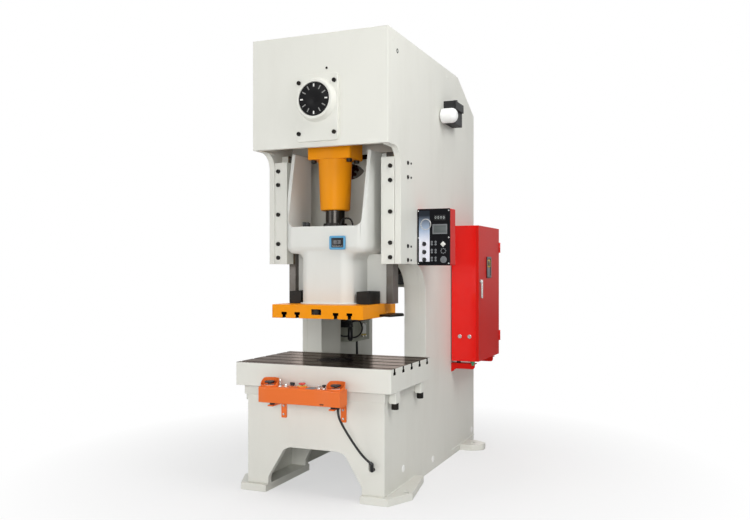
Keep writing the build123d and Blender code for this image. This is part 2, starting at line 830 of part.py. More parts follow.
# Slide plate with its T-slots, open underneath, and the shank hole
plate_front = ram_y - plate_depth / 2
plate_rear = ram_y + plate_depth / 2
plate_foot_bottom = plate_bottom + slot_neck_depth
with BuildPart() as slide_plate:
    slab((-plate_half, plate_half), (plate_front, plate_rear), (plate_bottom, plate_top))
    chamfer(slide_plate.edges().filter_by(Axis.Z), 5)
    for side in (-1, 1):
        for offset_x in plate_slot_x:
            slot_x = side * offset_x
            slab((slot_x - slot_neck / 2, slot_x + slot_neck / 2), (plate_front - 1, plate_rear + 1),
                 (plate_bottom, plate_foot_bottom), Mode.SUBTRACT)
            slab((slot_x - slot_foot / 2, slot_x + slot_foot / 2), (plate_front - 1, plate_rear + 1),
                 (plate_foot_bottom, plate_foot_bottom + slot_foot_depth), Mode.SUBTRACT)
    round_bar(shank_diameter, (0, ram_y, plate_bottom), shank_depth, mode=Mode.SUBTRACT)
    slab((-clamp_width / 2, clamp_width / 2), (plate_front, plate_front + clamp_recess),
         (clamp_z - clamp_height / 2, clamp_z + clamp_height / 2), Mode.SUBTRACT)
    round_bar(clamp_screw + 0.5, (0, plate_front, clamp_z), plate_depth / 2, (0, 1, 0), Mode.SUBTRACT)
finish(slide_plate, "slide_plate")

# Screw that clamps the die shank from the front
with BuildPart() as shank_screw:
    round_bar(clamp_screw, (0, plate_front + clamp_recess, clamp_z),
              plate_depth / 2 - clamp_recess - shank_diameter / 2 - 5, (0, 1, 0))
    with BuildSketch(Plane.XZ.offset(-plate_front - clamp_recess)):
        with Locations((0, clamp_z)):
            RegularPolygon(clamp_screw * 0.8, 6)
    extrude(amount=clamp_recess)
finish(shank_screw, "shank_screw")

# Black oil trays beside the barrel, and the bracket plate on the right end of the slide plate
tray_front = ram_y - tray_front_reach
tray_rear = ram_y + tray_rear_reach
tray_start = barrel_half + barrel_foot + 2
tray_end = tray_start + tray_width
wing_shoulder = plate_half + wing_reach - 40
with BuildPart() as oil_trays:
    for side in (-1, 1):
        slab(mirrored(side, tray_start, tray_end), (tray_front, tray_rear),
             (plate_top, plate_top + tray_height))
    lower_edges = oil_trays.edges().filter_by(Axis.Y).group_by(Axis.Z)[0]
    fillet(lower_edges.sort_by(lambda edge: abs(edge.center().X))[:2], tray_corner)
    for side in (-1, 1):
        slab(mirrored(side, tray_start + tray_wall, tray_end - tray_wall),
             (tray_front + tray_wall, tray_rear - tray_wall),
             (plate_top + tray_height - tray_well, plate_top + tray_height), Mode.SUBTRACT)
    with BuildSketch(Plane.XY.offset(plate_bottom + wing_rise)):
        with BuildLine():
            Polyline(
                (plate_half, ram_y - 10),
                (wing_shoulder, ram_y - 35),
                (plate_half + wing_reach, ram_y + 95),
                (wing_shoulder, ram_y + 180),
                (plate_half, ram_y + 180),
                close=True,
            )
        make_face()
    extrude(amount=wing_thickness)
finish(oil_trays, "oil_trays")

# Die height counter on the front of the pocket, and the switch block on its rim
counter_width, counter_height = counter_size
with BuildPart() as slide_counter:
    with BuildSketch(Plane.XZ.offset(-pocket_face)):
        with Locations((counter_x, counter_z)):
            RectangleRounded(counter_width, counter_height, 8)
    extrude(amount=counter_depth)
    with BuildSketch(Plane.XZ.offset(-pocket_face + counter_depth / 2)):
        with Locations((counter_x, counter_z)):
            Rectangle(counter_width - 2 * counter_frame, counter_height - 2 * counter_frame)
    extrude(amount=counter_depth, mode=Mode.SUBTRACT)
    slab(switch_x, (pocket_face + 2, well_front - 2), (pocket_rim, pocket_rim + switch_height))
finish(slide_counter, "slide_counter")

# Connecting rod with its square top block and tapered shank
pin_bore = crank_pin_diameter + 2 * bush_wall
rod_front = ram_y - rod_width / 2
with BuildPart() as conrod:
    slab((-rod_block_half, rod_block_half), (rod_front, rod_front + rod_width), (rod_block_bottom, pin_z))
    fillet(conrod.edges().filter_by(Axis.Z), 14)
    with Locations((0, ram_y, (rod_block_bottom + rod_end_z) / 2)):
        Cone(rod_end_diameter / 2, rod_top_diameter / 2, rod_block_bottom - rod_end_z)
    round_bar(pin_bore, (0, rod_front, pin_z), rod_width, (0, 1, 0), Mode.SUBTRACT)
    round_bar(screw_diameter + 2 * running_gap, (0, ram_y, rod_end_z),
              screw_top + die_height_adjustment + screw_thread_room - rod_end_z, mode=Mode.SUBTRACT)
    for side in (-1, 1):
        for offset_y in (-rod_bolt_y, rod_bolt_y):
            round_bar(rod_bolt + 1, (side * rod_bolt_x, ram_y + offset_y, rod_block_bottom),
                      pin_z - rod_block_bottom, mode=Mode.SUBTRACT)
    chamfer(conrod.edges().filter_by(GeomType.CIRCLE).group_by(Axis.Z)[0].sort_by(SortBy.LENGTH)[-1], 6)
finish(conrod, "conrod")

# Cap over the crank pin with its bolt shoulders
with BuildPart() as conrod_cap:
    with BuildSketch(Plane.XZ.offset(-rod_front - rod_width)):
        with Locations((0, pin_z)):
            Circle(cap_radius)
            with Locations((0, cap_shoulder / 2)):
                Rectangle(2 * rod_block_half, cap_shoulder)
            with Locations((0, -cap_radius / 2)):
                Rectangle(4 * rod_block_half, cap_radius, mode=Mode.SUBTRACT)
            Circle(pin_bore / 2, mode=Mode.SUBTRACT)
    extrude(amount=rod_width)
    for side in (-1, 1):
        for offset_y in (-rod_bolt_y, rod_bolt_y):
            round_bar(rod_bolt + 1, (side * rod_bolt_x, ram_y + offset_y, pin_z), cap_shoulder,
                      mode=Mode.SUBTRACT)
            round_bar(rod_bolt * 2, (side * rod_bolt_x, ram_y + offset_y, pin_z + cap_shoulder), cap_radius,
                      mode=Mode.SUBTRACT)
finish(conrod_cap, "conrod_cap")

# Bush of the crank pin in two halves
with BuildPart() as conrod_bush:
    round_bar(pin_bore, (0, rod_front, pin_z), rod_width, (0, 1, 0))
    round_bar(crank_pin_diameter + 2 * running_gap, (0, rod_front, pin_z), rod_width, (0, 1, 0),
              Mode.SUBTRACT)
    slab((-pin_bore, pin_bore), (rod_front, rod_front + rod_width), (pin_z - 0.1, pin_z + 0.1), Mode.SUBTRACT)
finish(conrod_bush, "conrod_bush")

# Crank pin in its bush
with BuildPart() as crank_pin:
    round_bar(crank_pin_diameter, (0, rod_front, pin_z), rod_width, (0, 1, 0))
finish(crank_pin, "crank_pin")

# Bolts that hold the cap, heads under the block and nuts on the shoulders
with BuildPart() as conrod_bolts:
    for side in (-1, 1):
        for offset_y in (-rod_bolt_y, rod_bolt_y):
            with Locations(Plane((side * rod_bolt_x, ram_y + offset_y, rod_block_bottom), z_dir=(0, 0, -1))):
                socket_screw(rod_bolt_head, rod_bolt_head_height, rod_bolt,
                             pin_z + cap_shoulder + rod_nut_height + 2 - rod_block_bottom)
    with BuildSketch(Plane.XY.offset(pin_z + cap_shoulder)):
        with Locations((0, ram_y)):
            with GridLocations(2 * rod_bolt_x, 2 * rod_bolt_y, 2, 2):
                RegularPolygon(rod_nut / 2, 6)
    extrude(amount=rod_nut_height)
finish(conrod_bolts, "conrod_bolts")

# Ball screw: threaded shank, collar and ball
with BuildPart() as ball_screw:
    with Locations((0, ram_y, ball_z)):
        Sphere(ball_diameter / 2)
    round_bar(screw_diameter, (0, ram_y, ball_z), screw_top - ball_z)
    with Locations((0, ram_y, pocket_floor + free_gap + collar_height / 2)):
        Cone(collar_diameter / 2, collar_top_diameter / 2, collar_height)
    chamfer(ball_screw.edges().filter_by(GeomType.CIRCLE).group_by(Axis.Z)[-1], 5)
finish(ball_screw, "ball_screw")

# Crankshaft: journals, two webs on either side of the rod, and the stub that drives the dial
dial_back = dial_face + dial_thickness
crank_end = drive_front_y + wall + 20
with BuildPart() as crankshaft:
    round_bar(dial_stub, (0, dial_back, crank_z), head_front - dial_back, (0, 1, 0))
    round_bar(journal, (0, head_front, crank_z), front_web_front - head_front, (0, 1, 0))
    round_bar(journal, (0, rear_web_rear, crank_z), crank_end - rear_web_rear, (0, 1, 0))
    for web_y in (front_web_front, rear_web_rear - web_thickness):
        with BuildSketch(Plane.XZ.offset(-web_y)):
            with Locations((0, (crank_z + pin_z) / 2)):
                SlotCenterToCenter(crank_z - pin_z, 2 * web_radius, rotation=90)
        extrude(amount=-web_thickness)
finish(crankshaft, "crankshaft")


def gear_outline(teeth, module, center_z):
    """Straight-flanked gear teeth around a centre, one tooth pointing along +X."""
    pitch_radius = module * teeth / 2
    root, tip = pitch_radius - 1.2 * module, pitch_radius + 0.8 * module
    step = 2 * pi / teeth
    corners = []
    for index in range(teeth):
        for radius, share in ((root, -0.27), (tip, -0.15), (tip, 0.15), (root, 0.27)):
            angle = (index + share) * step
            corners.append((radius * cos(angle), center_z + radius * sin(angle)))
    return corners


# Crank gear with its rim, holed web and hub
gear_rear = gear_front + gear_width
with BuildPart() as crank_gear:
    with BuildSketch(Plane.XZ.offset(-gear_front)):
        with BuildLine():
            Polyline(*gear_outline(gear_teeth, gear_module, crank_z), close=True)
        make_face()
        with Locations((0, crank_z)):
            Circle(journal / 2, mode=Mode.SUBTRACT)
            with PolarLocations(gear_module * gear_teeth / 4, 6):
                Circle(46, mode=Mode.SUBTRACT)
    extrude(amount=-gear_width)
    for plane_y, amount in ((gear_front, -gear_recess), (gear_rear, gear_recess)):
        with BuildSketch(Plane.XZ.offset(-plane_y)):
            with Locations((0, crank_z)):
                Circle(gear_module * gear_teeth / 2 - 55)
                Circle(journal / 2 + 35, mode=Mode.SUBTRACT)
        extrude(amount=amount, mode=Mode.SUBTRACT)
finish(crank_gear, "crank_gear")

# Dial disc on the end of the crankshaft
with BuildPart() as dial:
    round_bar(dial_diameter, (0, dial_face, crank_z), dial_thickness, (0, 1, 0))
finish(dial, "dial")

# Pinion shaft with its teeth and the clutch disc behind the flywheel
clutch_front = flywheel_front + flywheel_width + free_gap
with BuildPart() as pinion_shaft:
    with BuildSketch(Plane.XZ.offset(-gear_front)):
        with BuildLine():
            Polyline(*gear_outline(pinion_teeth, gear_module, pinion_z), close=True)
        make_face()
    extrude(amount=-gear_width)
    round_bar(shaft_diameter, (0, pinion_shaft_front, pinion_z),
              clutch_front + shaft_tail - pinion_shaft_front, (0, 1, 0))
    round_bar(clutch_diameter, (0, clutch_front, pinion_z), clutch_thickness, (0, 1, 0))
finish(pinion_shaft, "pinion_shaft")


def pulley_profile(radius, hub_radius, bore_radius, web, front, width):
    """Half section of a grooved wheel, as radius and Y, for turning about its shaft."""
    groove = belt_width + 2 * free_gap
    depth = belt_height + free_gap
    first = front + width / 2 - belt_pitch * (belt_count - 1) / 2
    section = [(bore_radius, front), (hub_radius, front)]
    if web:
        middle = front + width / 2
        section += [(hub_radius, middle - web / 2), (radius - rim_width, middle - web / 2),
                    (radius - rim_width, front)]
    section.append((radius, front))
    for index in range(belt_count):
        center = first + belt_pitch * index
        section += [(radius, center - groove / 2), (radius - depth, center - groove / 2),
                    (radius - depth, center + groove / 2), (radius, center + groove / 2)]
    section.append((radius, front + width))
    if web:
        section += [(radius - rim_width, front + width), (radius - rim_width, middle + web / 2),
                    (hub_radius, middle + web / 2)]
    section += [(hub_radius, front + width), (bore_radius, front + width)]
    return section


# Flywheel with its belt grooves
with BuildPart() as flywheel:
    with BuildSketch(Plane.XY.offset(pinion_z)):
        with BuildLine():
            Polyline(*pulley_profile(flywheel_radius, 85, shaft_diameter / 2 + running_gap, 36,
                                     flywheel_front, flywheel_width), close=True)
        make_face()
    revolve(axis=Axis((0, 0, pinion_z), (0, 1, 0)))
finish(flywheel, "flywheel")

# Motor pulley on its shaft
pulley_width = belt_pitch * belt_count + 10
pulley_front = flywheel_front + (flywheel_width - pulley_width) / 2
motor_front = flywheel_front + flywheel_width + 5
with BuildPart() as motor_pulley:
    with BuildSketch(Plane.XY.offset(motor_z)):
        with BuildLine():
            Polyline(*pulley_profile(motor_pulley_radius, motor_shaft, motor_shaft / 2, 0, pulley_front,
                                     pulley_width), close=True)
        make_face()
    revolve(axis=Axis((0, 0, motor_z), (0, 1, 0)))
    round_bar(motor_shaft, (0, pulley_front - 6, motor_z), motor_front + 30 - pulley_front, (0, 1, 0))
finish(motor_pulley, "motor_pulley")

# Four belts around the flywheel and the motor pulley
with BuildPart() as drive_belts:
    first_belt = flywheel_front + flywheel_width / 2 - belt_pitch * (belt_count - 1) / 2
    lift = pinion_z - motor_z
    for index in range(belt_count):
        with BuildSketch(Plane.XZ.offset(-(first_belt + belt_pitch * index - belt_width / 2))):
            for inset, mode in ((0, Mode.ADD), (belt_height, Mode.SUBTRACT)):
                large = flywheel_radius - inset
                small = motor_pulley_radius - inset
                rise = (small - large) / lift
                run = sqrt(1 - rise * rise)
                with BuildLine():
                    ThreePointArc((large * run, pinion_z + large * rise), (0, pinion_z + large),
                                  (-large * run, pinion_z + large * rise))
                    ThreePointArc((small * run, motor_z + small * rise), (0, motor_z - small),
                                  (-small * run, motor_z + small * rise))
                    for side in (-1, 1):
                        Line((side * large * run, pinion_z + large * rise),
                             (side * small * run, motor_z + small * rise))
                make_face(mode=mode)
        extrude(amount=-belt_width)
finish(drive_belts, "drive_belts")

# Motor on its shelf, with feet and a terminal box
with BuildPart() as motor:
    round_bar(2 * motor_radius, (0, motor_front, motor_z), motor_length, (0, 1, 0))
    with Locations(Plane((0, motor_front, motor_z), z_dir=(0, 1, 0))):
        with PolarLocations(motor_radius, motor_fins):
            with Locations((0, 0, motor_length / 2)):
                Box(2 * motor_fin_height, motor_fin_width, motor_length - 2 * motor_bell)
    feet_y = (motor_front + 80, motor_front + motor_length - 60)
    for side in (-1, 1):
        slab(mirrored(side, motor_foot_inner, motor_foot_outer), feet_y,
             (shelf_top, motor_z - motor_radius / 2))
    slab((motor_radius - 10, motor_radius + terminal_reach), (motor_front + 70, motor_front + 190),
         (motor_z - terminal_half, motor_z + terminal_half))
    round_bar(motor_shaft + 2 * running_gap, (0, motor_front, motor_z), 40, (0, 1, 0), Mode.SUBTRACT)
finish(motor, "motor")

# Electrical cabinet: a shallow shell open to the right
cabinet_x = half + cabinet_gap
shell_end = cabinet_x + cabinet_depth - door_depth - free_gap
cabinet_rear = cabinet_front + cabinet_width
with BuildPart() as cabinet_shell:
    slab((cabinet_x, shell_end), (cabinet_front, cabinet_rear), (cabinet_bottom, cabinet_top))
    slab((cabinet_x + cabinet_sheet, shell_end),
         (cabinet_front + cabinet_sheet, cabinet_rear - cabinet_sheet),
         (cabinet_bottom + cabinet_sheet, cabinet_top - cabinet_sheet), Mode.SUBTRACT)
    for level in hinge_levels:
        round_bar(hinge_diameter, (door_pivot_x, door_pivot_y, level), hinge_length)
        slab((shell_end - 40, door_pivot_x), (cabinet_rear, cabinet_rear + 3), (level, level + hinge_length))
        round_bar(hinge_pin + running_gap, (door_pivot_x, door_pivot_y, level), hinge_length,
                  mode=Mode.SUBTRACT)
finish(cabinet_shell, "cabinet_shell")

# Cabinet door: a pressed pan with the frame of its switch window and its hinge pins
door_x = (shell_end + free_gap, cabinet_x + cabinet_depth)
with BuildPart() as cabinet_door:
    slab(door_x, (cabinet_front, cabinet_rear - 1), (cabinet_bottom, cabinet_top))
    fillet(cabinet_door.edges().filter_by(Axis.Z).group_by(Axis.X)[-1], 5)
    slab((door_x[0], door_x[1] - cabinet_sheet),
         (cabinet_front + cabinet_sheet, cabinet_rear - 1 - cabinet_sheet),
         (cabinet_bottom + cabinet_sheet, cabinet_top - cabinet_sheet), Mode.SUBTRACT)
    slab((door_x[1], door_x[1] + window_rise), window_y, window_z)
    slab((door_x[1], door_x[1] + window_rise), (window_y[0] + window_frame, window_y[1] - window_frame),
         (window_z[0] + window_frame, window_z[1] - window_frame), Mode.SUBTRACT)
    for level in hinge_levels:
        round_bar(hinge_pin, (door_pivot_x, door_pivot_y, level - hinge_length), 2 * hinge_length - 4)
        round_bar(hinge_diameter, (door_pivot_x, door_pivot_y, level - hinge_length - free_gap), hinge_length)
        slab((door_x[1] - 14, door_pivot_x), (cabinet_rear - 6, door_pivot_y),
             (level - hinge_length - free_gap, level - free_gap))
finish(cabinet_door, "cabinet_door")

# Lever handle of the door
with BuildPart() as door_handle:
    round_bar(handle_hub, (door_x[1] + free_gap, handle_y, handle_z), handle_lift, (1, 0, 0))
    slab((door_x[1] + handle_lift, door_x[1] + handle_lift + 10),
         (handle_y - handle_width / 2, handle_y + handle_width / 2),
         (handle_z - handle_length, handle_z + handle_lift))
    fillet(door_handle.edges().filter_by(Axis.X).group_by(Axis.Z)[0], 8)
finish(door_handle, "door_handle")

# Brackets that carry the cabinet, one at each end: an angle with a gusset on its front side
arm_level = cabinet_bottom - mount_height
arm_end = half + cabinet_depth - bracket_inset
bracket_rows = (cabinet_front + bracket_margin, cabinet_rear - bracket_margin - bracket_width)
with BuildPart() as cabinet_brackets:
    for bracket_y in bracket_rows:
        slab((half, half + bracket_thickness), (bracket_y, bracket_y + bracket_width),
             (arm_level - bracket_drop, arm_level))
        slab((half, arm_end), (bracket_y, bracket_y + bracket_width),
             (arm_level - bracket_thickness, arm_level))
        with BuildSketch(Plane.XZ.offset(-bracket_y)) as gusset:
            with BuildLine():
                Polyline(
                    (half, arm_level),
                    (arm_end, arm_level),
                    (arm_end, arm_level - bracket_gusset),
                    (half + bracket_gusset, arm_level - bracket_gusset),
                    (half, arm_level - bracket_drop),
                    close=True,
                )
            make_face()
            fillet(gusset.vertices().sort_by_distance((arm_end, arm_level - bracket_gusset))[0], 20)
        extrude(amount=-bracket_thickness)
finish(cabinet_brackets, "cabinet_brackets")

# Rubber mounts: four under the cabinet and two under the two-hand station
with BuildPart() as rubber_mounts:
    for bracket_y in bracket_rows:
        for mount_x in (half + 50, half + cabinet_depth - 50):
            round_bar(mount_diameter, (mount_x, bracket_y + bracket_width / 2, arm_level), mount_height)
    for side in (-1, 1):
        round_bar(mount_diameter, (side * station_arm_x, station_front + 50, station_bottom - mount_height),
                  mount_height)
finish(rubber_mounts, "rubber_mounts")

# Control panel box and its face plate
with BuildPart() as control_panel:
    slab((half, half + panel_width), (panel_front, panel_front + panel_depth),
         (panel_bottom, panel_bottom + panel_height))
    fillet(control_panel.edges().filter_by(Axis.Y), 8)
finish(control_panel, "control_panel")

with BuildPart() as panel_face:
    with BuildSketch(Plane.XZ.offset(-panel_front)):
        with Locations((half + panel_width / 2, panel_bottom + panel_height / 2)):
            RectangleRounded(panel_width - 6, panel_height - 6, 12)
        with Locations(*[(selector_x, level) for level in selector_levels]):
            Circle(selector_stem / 2 + running_gap, mode=Mode.SUBTRACT)
    extrude(amount=panel_face_depth)
finish(panel_face, "panel_face")

# Selector switches of the panel
panel_surface = panel_front - panel_face_depth
for level, name in zip(selector_levels, ("upper", "middle", "lower")):
    with BuildPart() as panel_selector:
        round_bar(selector_diameter, (selector_x, panel_surface - free_gap - selector_length, level),
                  selector_length, (0, 1, 0))
        slab((selector_x - 3, selector_x + 3),
             (panel_surface - free_gap - selector_length - 5, panel_surface - free_gap - selector_length),
             (level - selector_diameter / 2 + 2, level + selector_diameter / 2 - 2))
        round_bar(selector_stem, (selector_x, panel_surface - free_gap, level), panel_face_depth, (0, 1, 0))
    finish(panel_selector, f"panel_selector_{name}")

# Solenoid valve of the clutch and the silencer beside it
with BuildPart() as valve:
    slab((half, half + valve_reach), valve_y, valve_z)
    slab((half + valve_reach, half + valve_reach + coil_rise), (valve_y[0] + 12, valve_y[1] - 12),
         (valve_z[1] - coil_height, valve_z[1]))
    fillet(valve.edges().filter_by(Axis.Y), 4)
    round_bar(valve_cap, (half + valve_reach / 2, valve_y[1] - 50, valve_z[1]), valve_cap_height)
finish(valve, "valve")

with BuildPart() as silencer:
    round_bar(2 * silencer_radius, (half + silencer_collar, silencer_y, silencer_z), silencer_length,
              (1, 0, 0))
    fillet(silencer.edges().filter_by(GeomType.CIRCLE).sort_by(Axis.X)[-1], silencer_radius * 0.8)
    round_bar(silencer_radius, (half, silencer_y, silencer_z), silencer_collar, (1, 0, 0))
finish(silencer, "silencer")

# Lubricator on the inside of the left side plate, with its sight tube and pump cap
with BuildPart() as lubricator:
    slab((-inner, -inner + lubricator_depth), lubricator_y, lubricator_z)
    fillet(lubricator.edges().filter_by(Axis.Z).group_by(Axis.X)[-1], 8)
    round_bar(sight_tube, (-inner + lubricator_depth + 15, sum(lubricator_y) / 2, lubricator_z[0] + 30),
              sight_tube_height)
    round_bar(pump_cap, (-inner + lubricator_depth / 2, lubricator_y[0] + pump_cap, lubricator_z[1]),
              pump_cap_height)
finish(lubricator, "lubricator")

# Two-hand station: folded box with sloped front edge
station_top = station_bottom + station_height
station_rear = station_front + station_depth
palm_y = station_front + station_depth / 2
with BuildPart() as station_box:
    with BuildSketch(Plane.YZ.offset(-station_half)):
        with BuildLine():
            Polyline(
                (station_front, station_bottom),
                (station_rear, station_bottom),
                (station_rear, station_top),
                (station_front + 6, station_top),
                (station_front, station_top - 6),
                close=True,
            )
        make_face()
    extrude(amount=2 * station_half)
    for side in (-1, 1):
        round_bar(palm_base, (side * palm_x, palm_y, station_top), palm_base_height)
        round_bar(palm_stem + 2 * running_gap, (side * palm_x, palm_y, station_top - palm_well),
                  palm_well + palm_base_height, mode=Mode.SUBTRACT)
    round_bar(stop_base, (0, palm_y, station_top), stop_base_height)
    round_bar(stop_stem + 2 * running_gap, (0, palm_y, station_top - palm_well),
              palm_well + stop_base_height, mode=Mode.SUBTRACT)
    round_bar(selector_diameter + 8, (station_selector_x, palm_y, station_top), 4)
    round_bar(selector_stem + 2 * running_gap, (station_selector_x, palm_y, station_top - 6), 10,
              mode=Mode.SUBTRACT)
finish(station_box, "station_box")

# Guards around the palm buttons: oval collars cut low at the front
with BuildPart() as station_guards:
    with BuildSketch(Plane.XY.offset(station_top)):
        for side in (-1, 1):
            with Locations((side * palm_x, palm_y)):
                Ellipse(guard_width / 2, guard_depth / 2)
                Ellipse(guard_width / 2 - guard_wall, guard_depth / 2 - guard_wall, mode=Mode.SUBTRACT)
    extrude(amount=guard_height)
    with BuildSketch(Plane.YZ.offset(-station_half - 50)):
        with BuildLine():
            Polyline(
                (palm_y - guard_depth, station_top + 10),
                (palm_y - guard_depth / 4, station_top + 10),
                (palm_y + guard_depth / 4, station_top + guard_height + 1),
                (palm_y - guard_depth, station_top + guard_height + 1),
                close=True,
            )
        make_face()
    extrude(amount=2 * station_half + 100, mode=Mode.SUBTRACT)
finish(station_guards, "station_guards")

# Palm buttons, pressed together to start a stroke
cap_bottom = station_top + palm_base_height + palm_travel + 1
for side, name in ((-1, "left"), (1, "right")):
    with BuildPart() as palm_button:
        round_bar(palm_stem, (side * palm_x, palm_y, station_top - palm_well + palm_travel + 2),
                  palm_well + palm_base_height)
        round_bar(palm_diameter, (side * palm_x, palm_y, cap_bottom), palm_cap_height)
        fillet(palm_button.edges().filter_by(GeomType.CIRCLE).group_by(Axis.Z)[-1], palm_cap_height * 0.6)
    finish(palm_button, f"palm_button_{name}")

# Emergency stop mushroom and the selector beside it
with BuildPart() as emergency_stop:
    round_bar(stop_stem, (0, palm_y, station_top - palm_well + stop_travel + 2), palm_well + stop_base_height)
    round_bar(stop_diameter, (0, palm_y, station_top + stop_base_height + stop_travel + 1), stop_cap_height)
    fillet(emergency_stop.edges().filter_by(GeomType.CIRCLE).group_by(Axis.Z)[-1], 5)
finish(emergency_stop, "emergency_stop")

with BuildPart() as station_selector:
    round_bar(selector_diameter, (station_selector_x, palm_y, station_top + 4 + free_gap),
              selector_length - 6)
    slab((station_selector_x - 3, station_selector_x + 3),
         (palm_y - selector_diameter / 2 + 2, palm_y + selector_diameter / 2 - 2),
         (station_top + free_gap + selector_length - 2, station_top + free_gap + selector_length + 3))
    round_bar(selector_stem, (station_selector_x, palm_y, station_top - 5), 9 + free_gap)
finish(station_selector, "station_selector")

# Brackets that carry the station on the base front plate
with BuildPart() as station_brackets:
    arm_top = station_bottom - mount_height
    for side in (-1, 1):
        arm_x = mirrored(side, station_arm_x - arm_width / 2, station_arm_x + arm_width / 2)
        slab(arm_x, (base_front - arm_thickness, base_front), (arm_top - arm_drop, arm_top))
        slab(arm_x, (station_front + 24, base_front), (arm_top - arm_thickness, arm_top))
    fillet(station_brackets.edges().filter_by(Axis.Y).group_by(Axis.Z)[0], 6)
finish(station_brackets, "station_brackets")

# Cable glands: one under the station and an elbow on the right leg
elbow_corner = Vector(cable_hole_x + 22, base_front - elbow_standoff, cable_hole_z + 26)
mouth_direction = Vector(-0.77, -0.15, 0.62).normalized()
mouth = elbow_corner + mouth_direction * elbow_mouth
cable_exit = Vector(cable_exit_x, palm_y, station_bottom - gland_length)
with BuildPart() as cord_glands:
    round_bar(gland_diameter, cable_exit, gland_length)
    round_bar(gland_diameter, elbow_corner, elbow_mouth, mouth_direction)
    round_bar(gland_diameter, elbow_corner - (0, 0, elbow_drop), elbow_drop)
    round_bar(gland_diameter, elbow_corner - (0, 0, elbow_drop), elbow_standoff, (0, 1, 0))
    with Locations(elbow_corner, elbow_corner - (0, 0, elbow_drop)):
        Sphere(gland_diameter / 2)
finish(cord_glands, "cord_glands")

# Cable of the station, from the gland under the box down to the elbow
cable_points = [
    cable_exit,
    Vector(cable_exit_x, palm_y, 541),
    Vector(252, -996, 490),
    Vector(277, -974, 432),
    Vector(303, -951, 376),
    Vector(329, -926, 323),
    mouth + mouth_direction * 40,
    mouth,
]
bend_radii = []
for before, corner, after in zip(cable_points, cable_points[1:], cable_points[2:]):
    turn = radians((corner - before).get_angle(after - corner))
    shorter = min((corner - before).length, (after - corner).length)
    bend_radii.append(0.45 * shorter / tan(turn / 2))
with BuildPart() as station_cord:
    with BuildLine() as cable_path:
        FilletPolyline(*cable_points, radius=bend_radii)
    with BuildSketch(Plane(cable_points[0], z_dir=cable_points[1] - cable_points[0])):
        Circle(cable_diameter / 2)
    sweep()
finish(station_cord, "station_cord")
cable_length = cable_path.wires()[0].length
section = pi * cable_diameter ** 2 / 4
print("cable bend radii", [round(radius) for radius in bend_radii])
print("cable length", round(cable_length, 1), "volume ratio",
      round(station_cord.part.volume / (section * cable_length), 4))
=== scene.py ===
"""A gap-frame stamping press with its slide at the bottom of the stroke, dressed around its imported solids."""
import json
from math import cos, pi, radians, sin

import bmesh
import bpy
from mathutils import Matrix, Vector


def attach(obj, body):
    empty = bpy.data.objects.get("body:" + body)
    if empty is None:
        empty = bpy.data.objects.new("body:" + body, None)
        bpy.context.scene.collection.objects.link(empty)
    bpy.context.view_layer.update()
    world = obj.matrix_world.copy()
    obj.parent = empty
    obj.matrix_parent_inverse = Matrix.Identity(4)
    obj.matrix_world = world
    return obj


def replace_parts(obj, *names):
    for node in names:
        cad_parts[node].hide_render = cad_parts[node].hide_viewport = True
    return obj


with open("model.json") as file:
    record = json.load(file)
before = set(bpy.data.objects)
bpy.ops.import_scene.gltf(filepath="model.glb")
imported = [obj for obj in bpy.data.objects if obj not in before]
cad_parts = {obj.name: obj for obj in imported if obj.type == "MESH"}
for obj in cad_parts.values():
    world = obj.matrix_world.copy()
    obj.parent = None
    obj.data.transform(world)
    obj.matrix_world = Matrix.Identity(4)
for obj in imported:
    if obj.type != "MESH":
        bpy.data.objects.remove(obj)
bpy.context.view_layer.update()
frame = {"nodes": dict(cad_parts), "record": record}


# Studio
# The press stands on a pale floor in front of white paper, in the light of five large soft lamps: beside the camera,
# at the right, overhead, at the left and behind. The camera stands front right, 1.4 m above the floor.
camera = bpy.data.objects.new("studio_camera", bpy.data.cameras.new("studio_camera"))
camera.location = (2.244481, -5.05787, 1.40411)
camera.rotation_euler = (pi / 2, 0, 0.37671)
camera.data.sensor_width = 36
camera.data.lens = 37.054
camera.data.shift_x = -0.03709
camera.data.shift_y = 0.00954
bpy.context.collection.objects.link(camera)
bpy.context.scene.camera = camera
bpy.context.scene.view_settings.view_transform = "Standard"

lamps = (
    ("lamp_front", (2.3, -6.7, 1.9), (0.0, -0.2, 1.6), (3.0, 2.0), 170),
    ("lamp_right", (3.4, -1.4, 4.2), (0.4, 0.2, 2.5), (2.2, 2.2), 88),
    ("lamp_top", (0.0, -0.9, 6.2), (0.0, -0.4, 0.0), (5.0, 5.0), 120),
    ("lamp_left", (-3.6, -5.2, 2.2), (0.0, -0.3, 1.5), (2.6, 2.2), 60),
    ("lamp_rear", (-2.0, 6.2, 3.4), (0.0, 0.3, 1.4), (4.0, 3.5), 90),
)
for name, place, target, size, power in lamps:
    lamp = bpy.data.lights.new(name, "AREA")
    lamp.shape = "RECTANGLE"
    lamp.size, lamp.size_y = size
    lamp.energy = power
    holder = bpy.data.objects.new(name, lamp)
    holder.location = place
    holder.rotation_euler = (Vector(target) - Vector(place)).to_track_quat("-Z", "Y").to_euler()
    bpy.context.collection.objects.link(holder)


class Shade:
    """One varying value of a finish. Sums and products of it add Math nodes to the finish's shader."""

    def __init__(self, finish, socket):
        self.finish = finish
        self.socket = socket

    def _math(self, operation, first, second):
        return self.finish.node("Math", {"operation": operation}, {0: first, 1: second})

    def __add__(self, other):
        return self._math("ADD", self, other)

    def __sub__(self, other):
        return self._math("SUBTRACT", self, other)

    def __rsub__(self, other):
        return self._math("SUBTRACT", other, self)

    def __mul__(self, other):
        return self._math("MULTIPLY", self, other)

    def __gt__(self, other):
        return self._math("GREATER_THAN", self, other)

    def __lt__(self, other):
        return self._math("LESS_THAN", self, other)

    __radd__ = __add__
    __rmul__ = __mul__


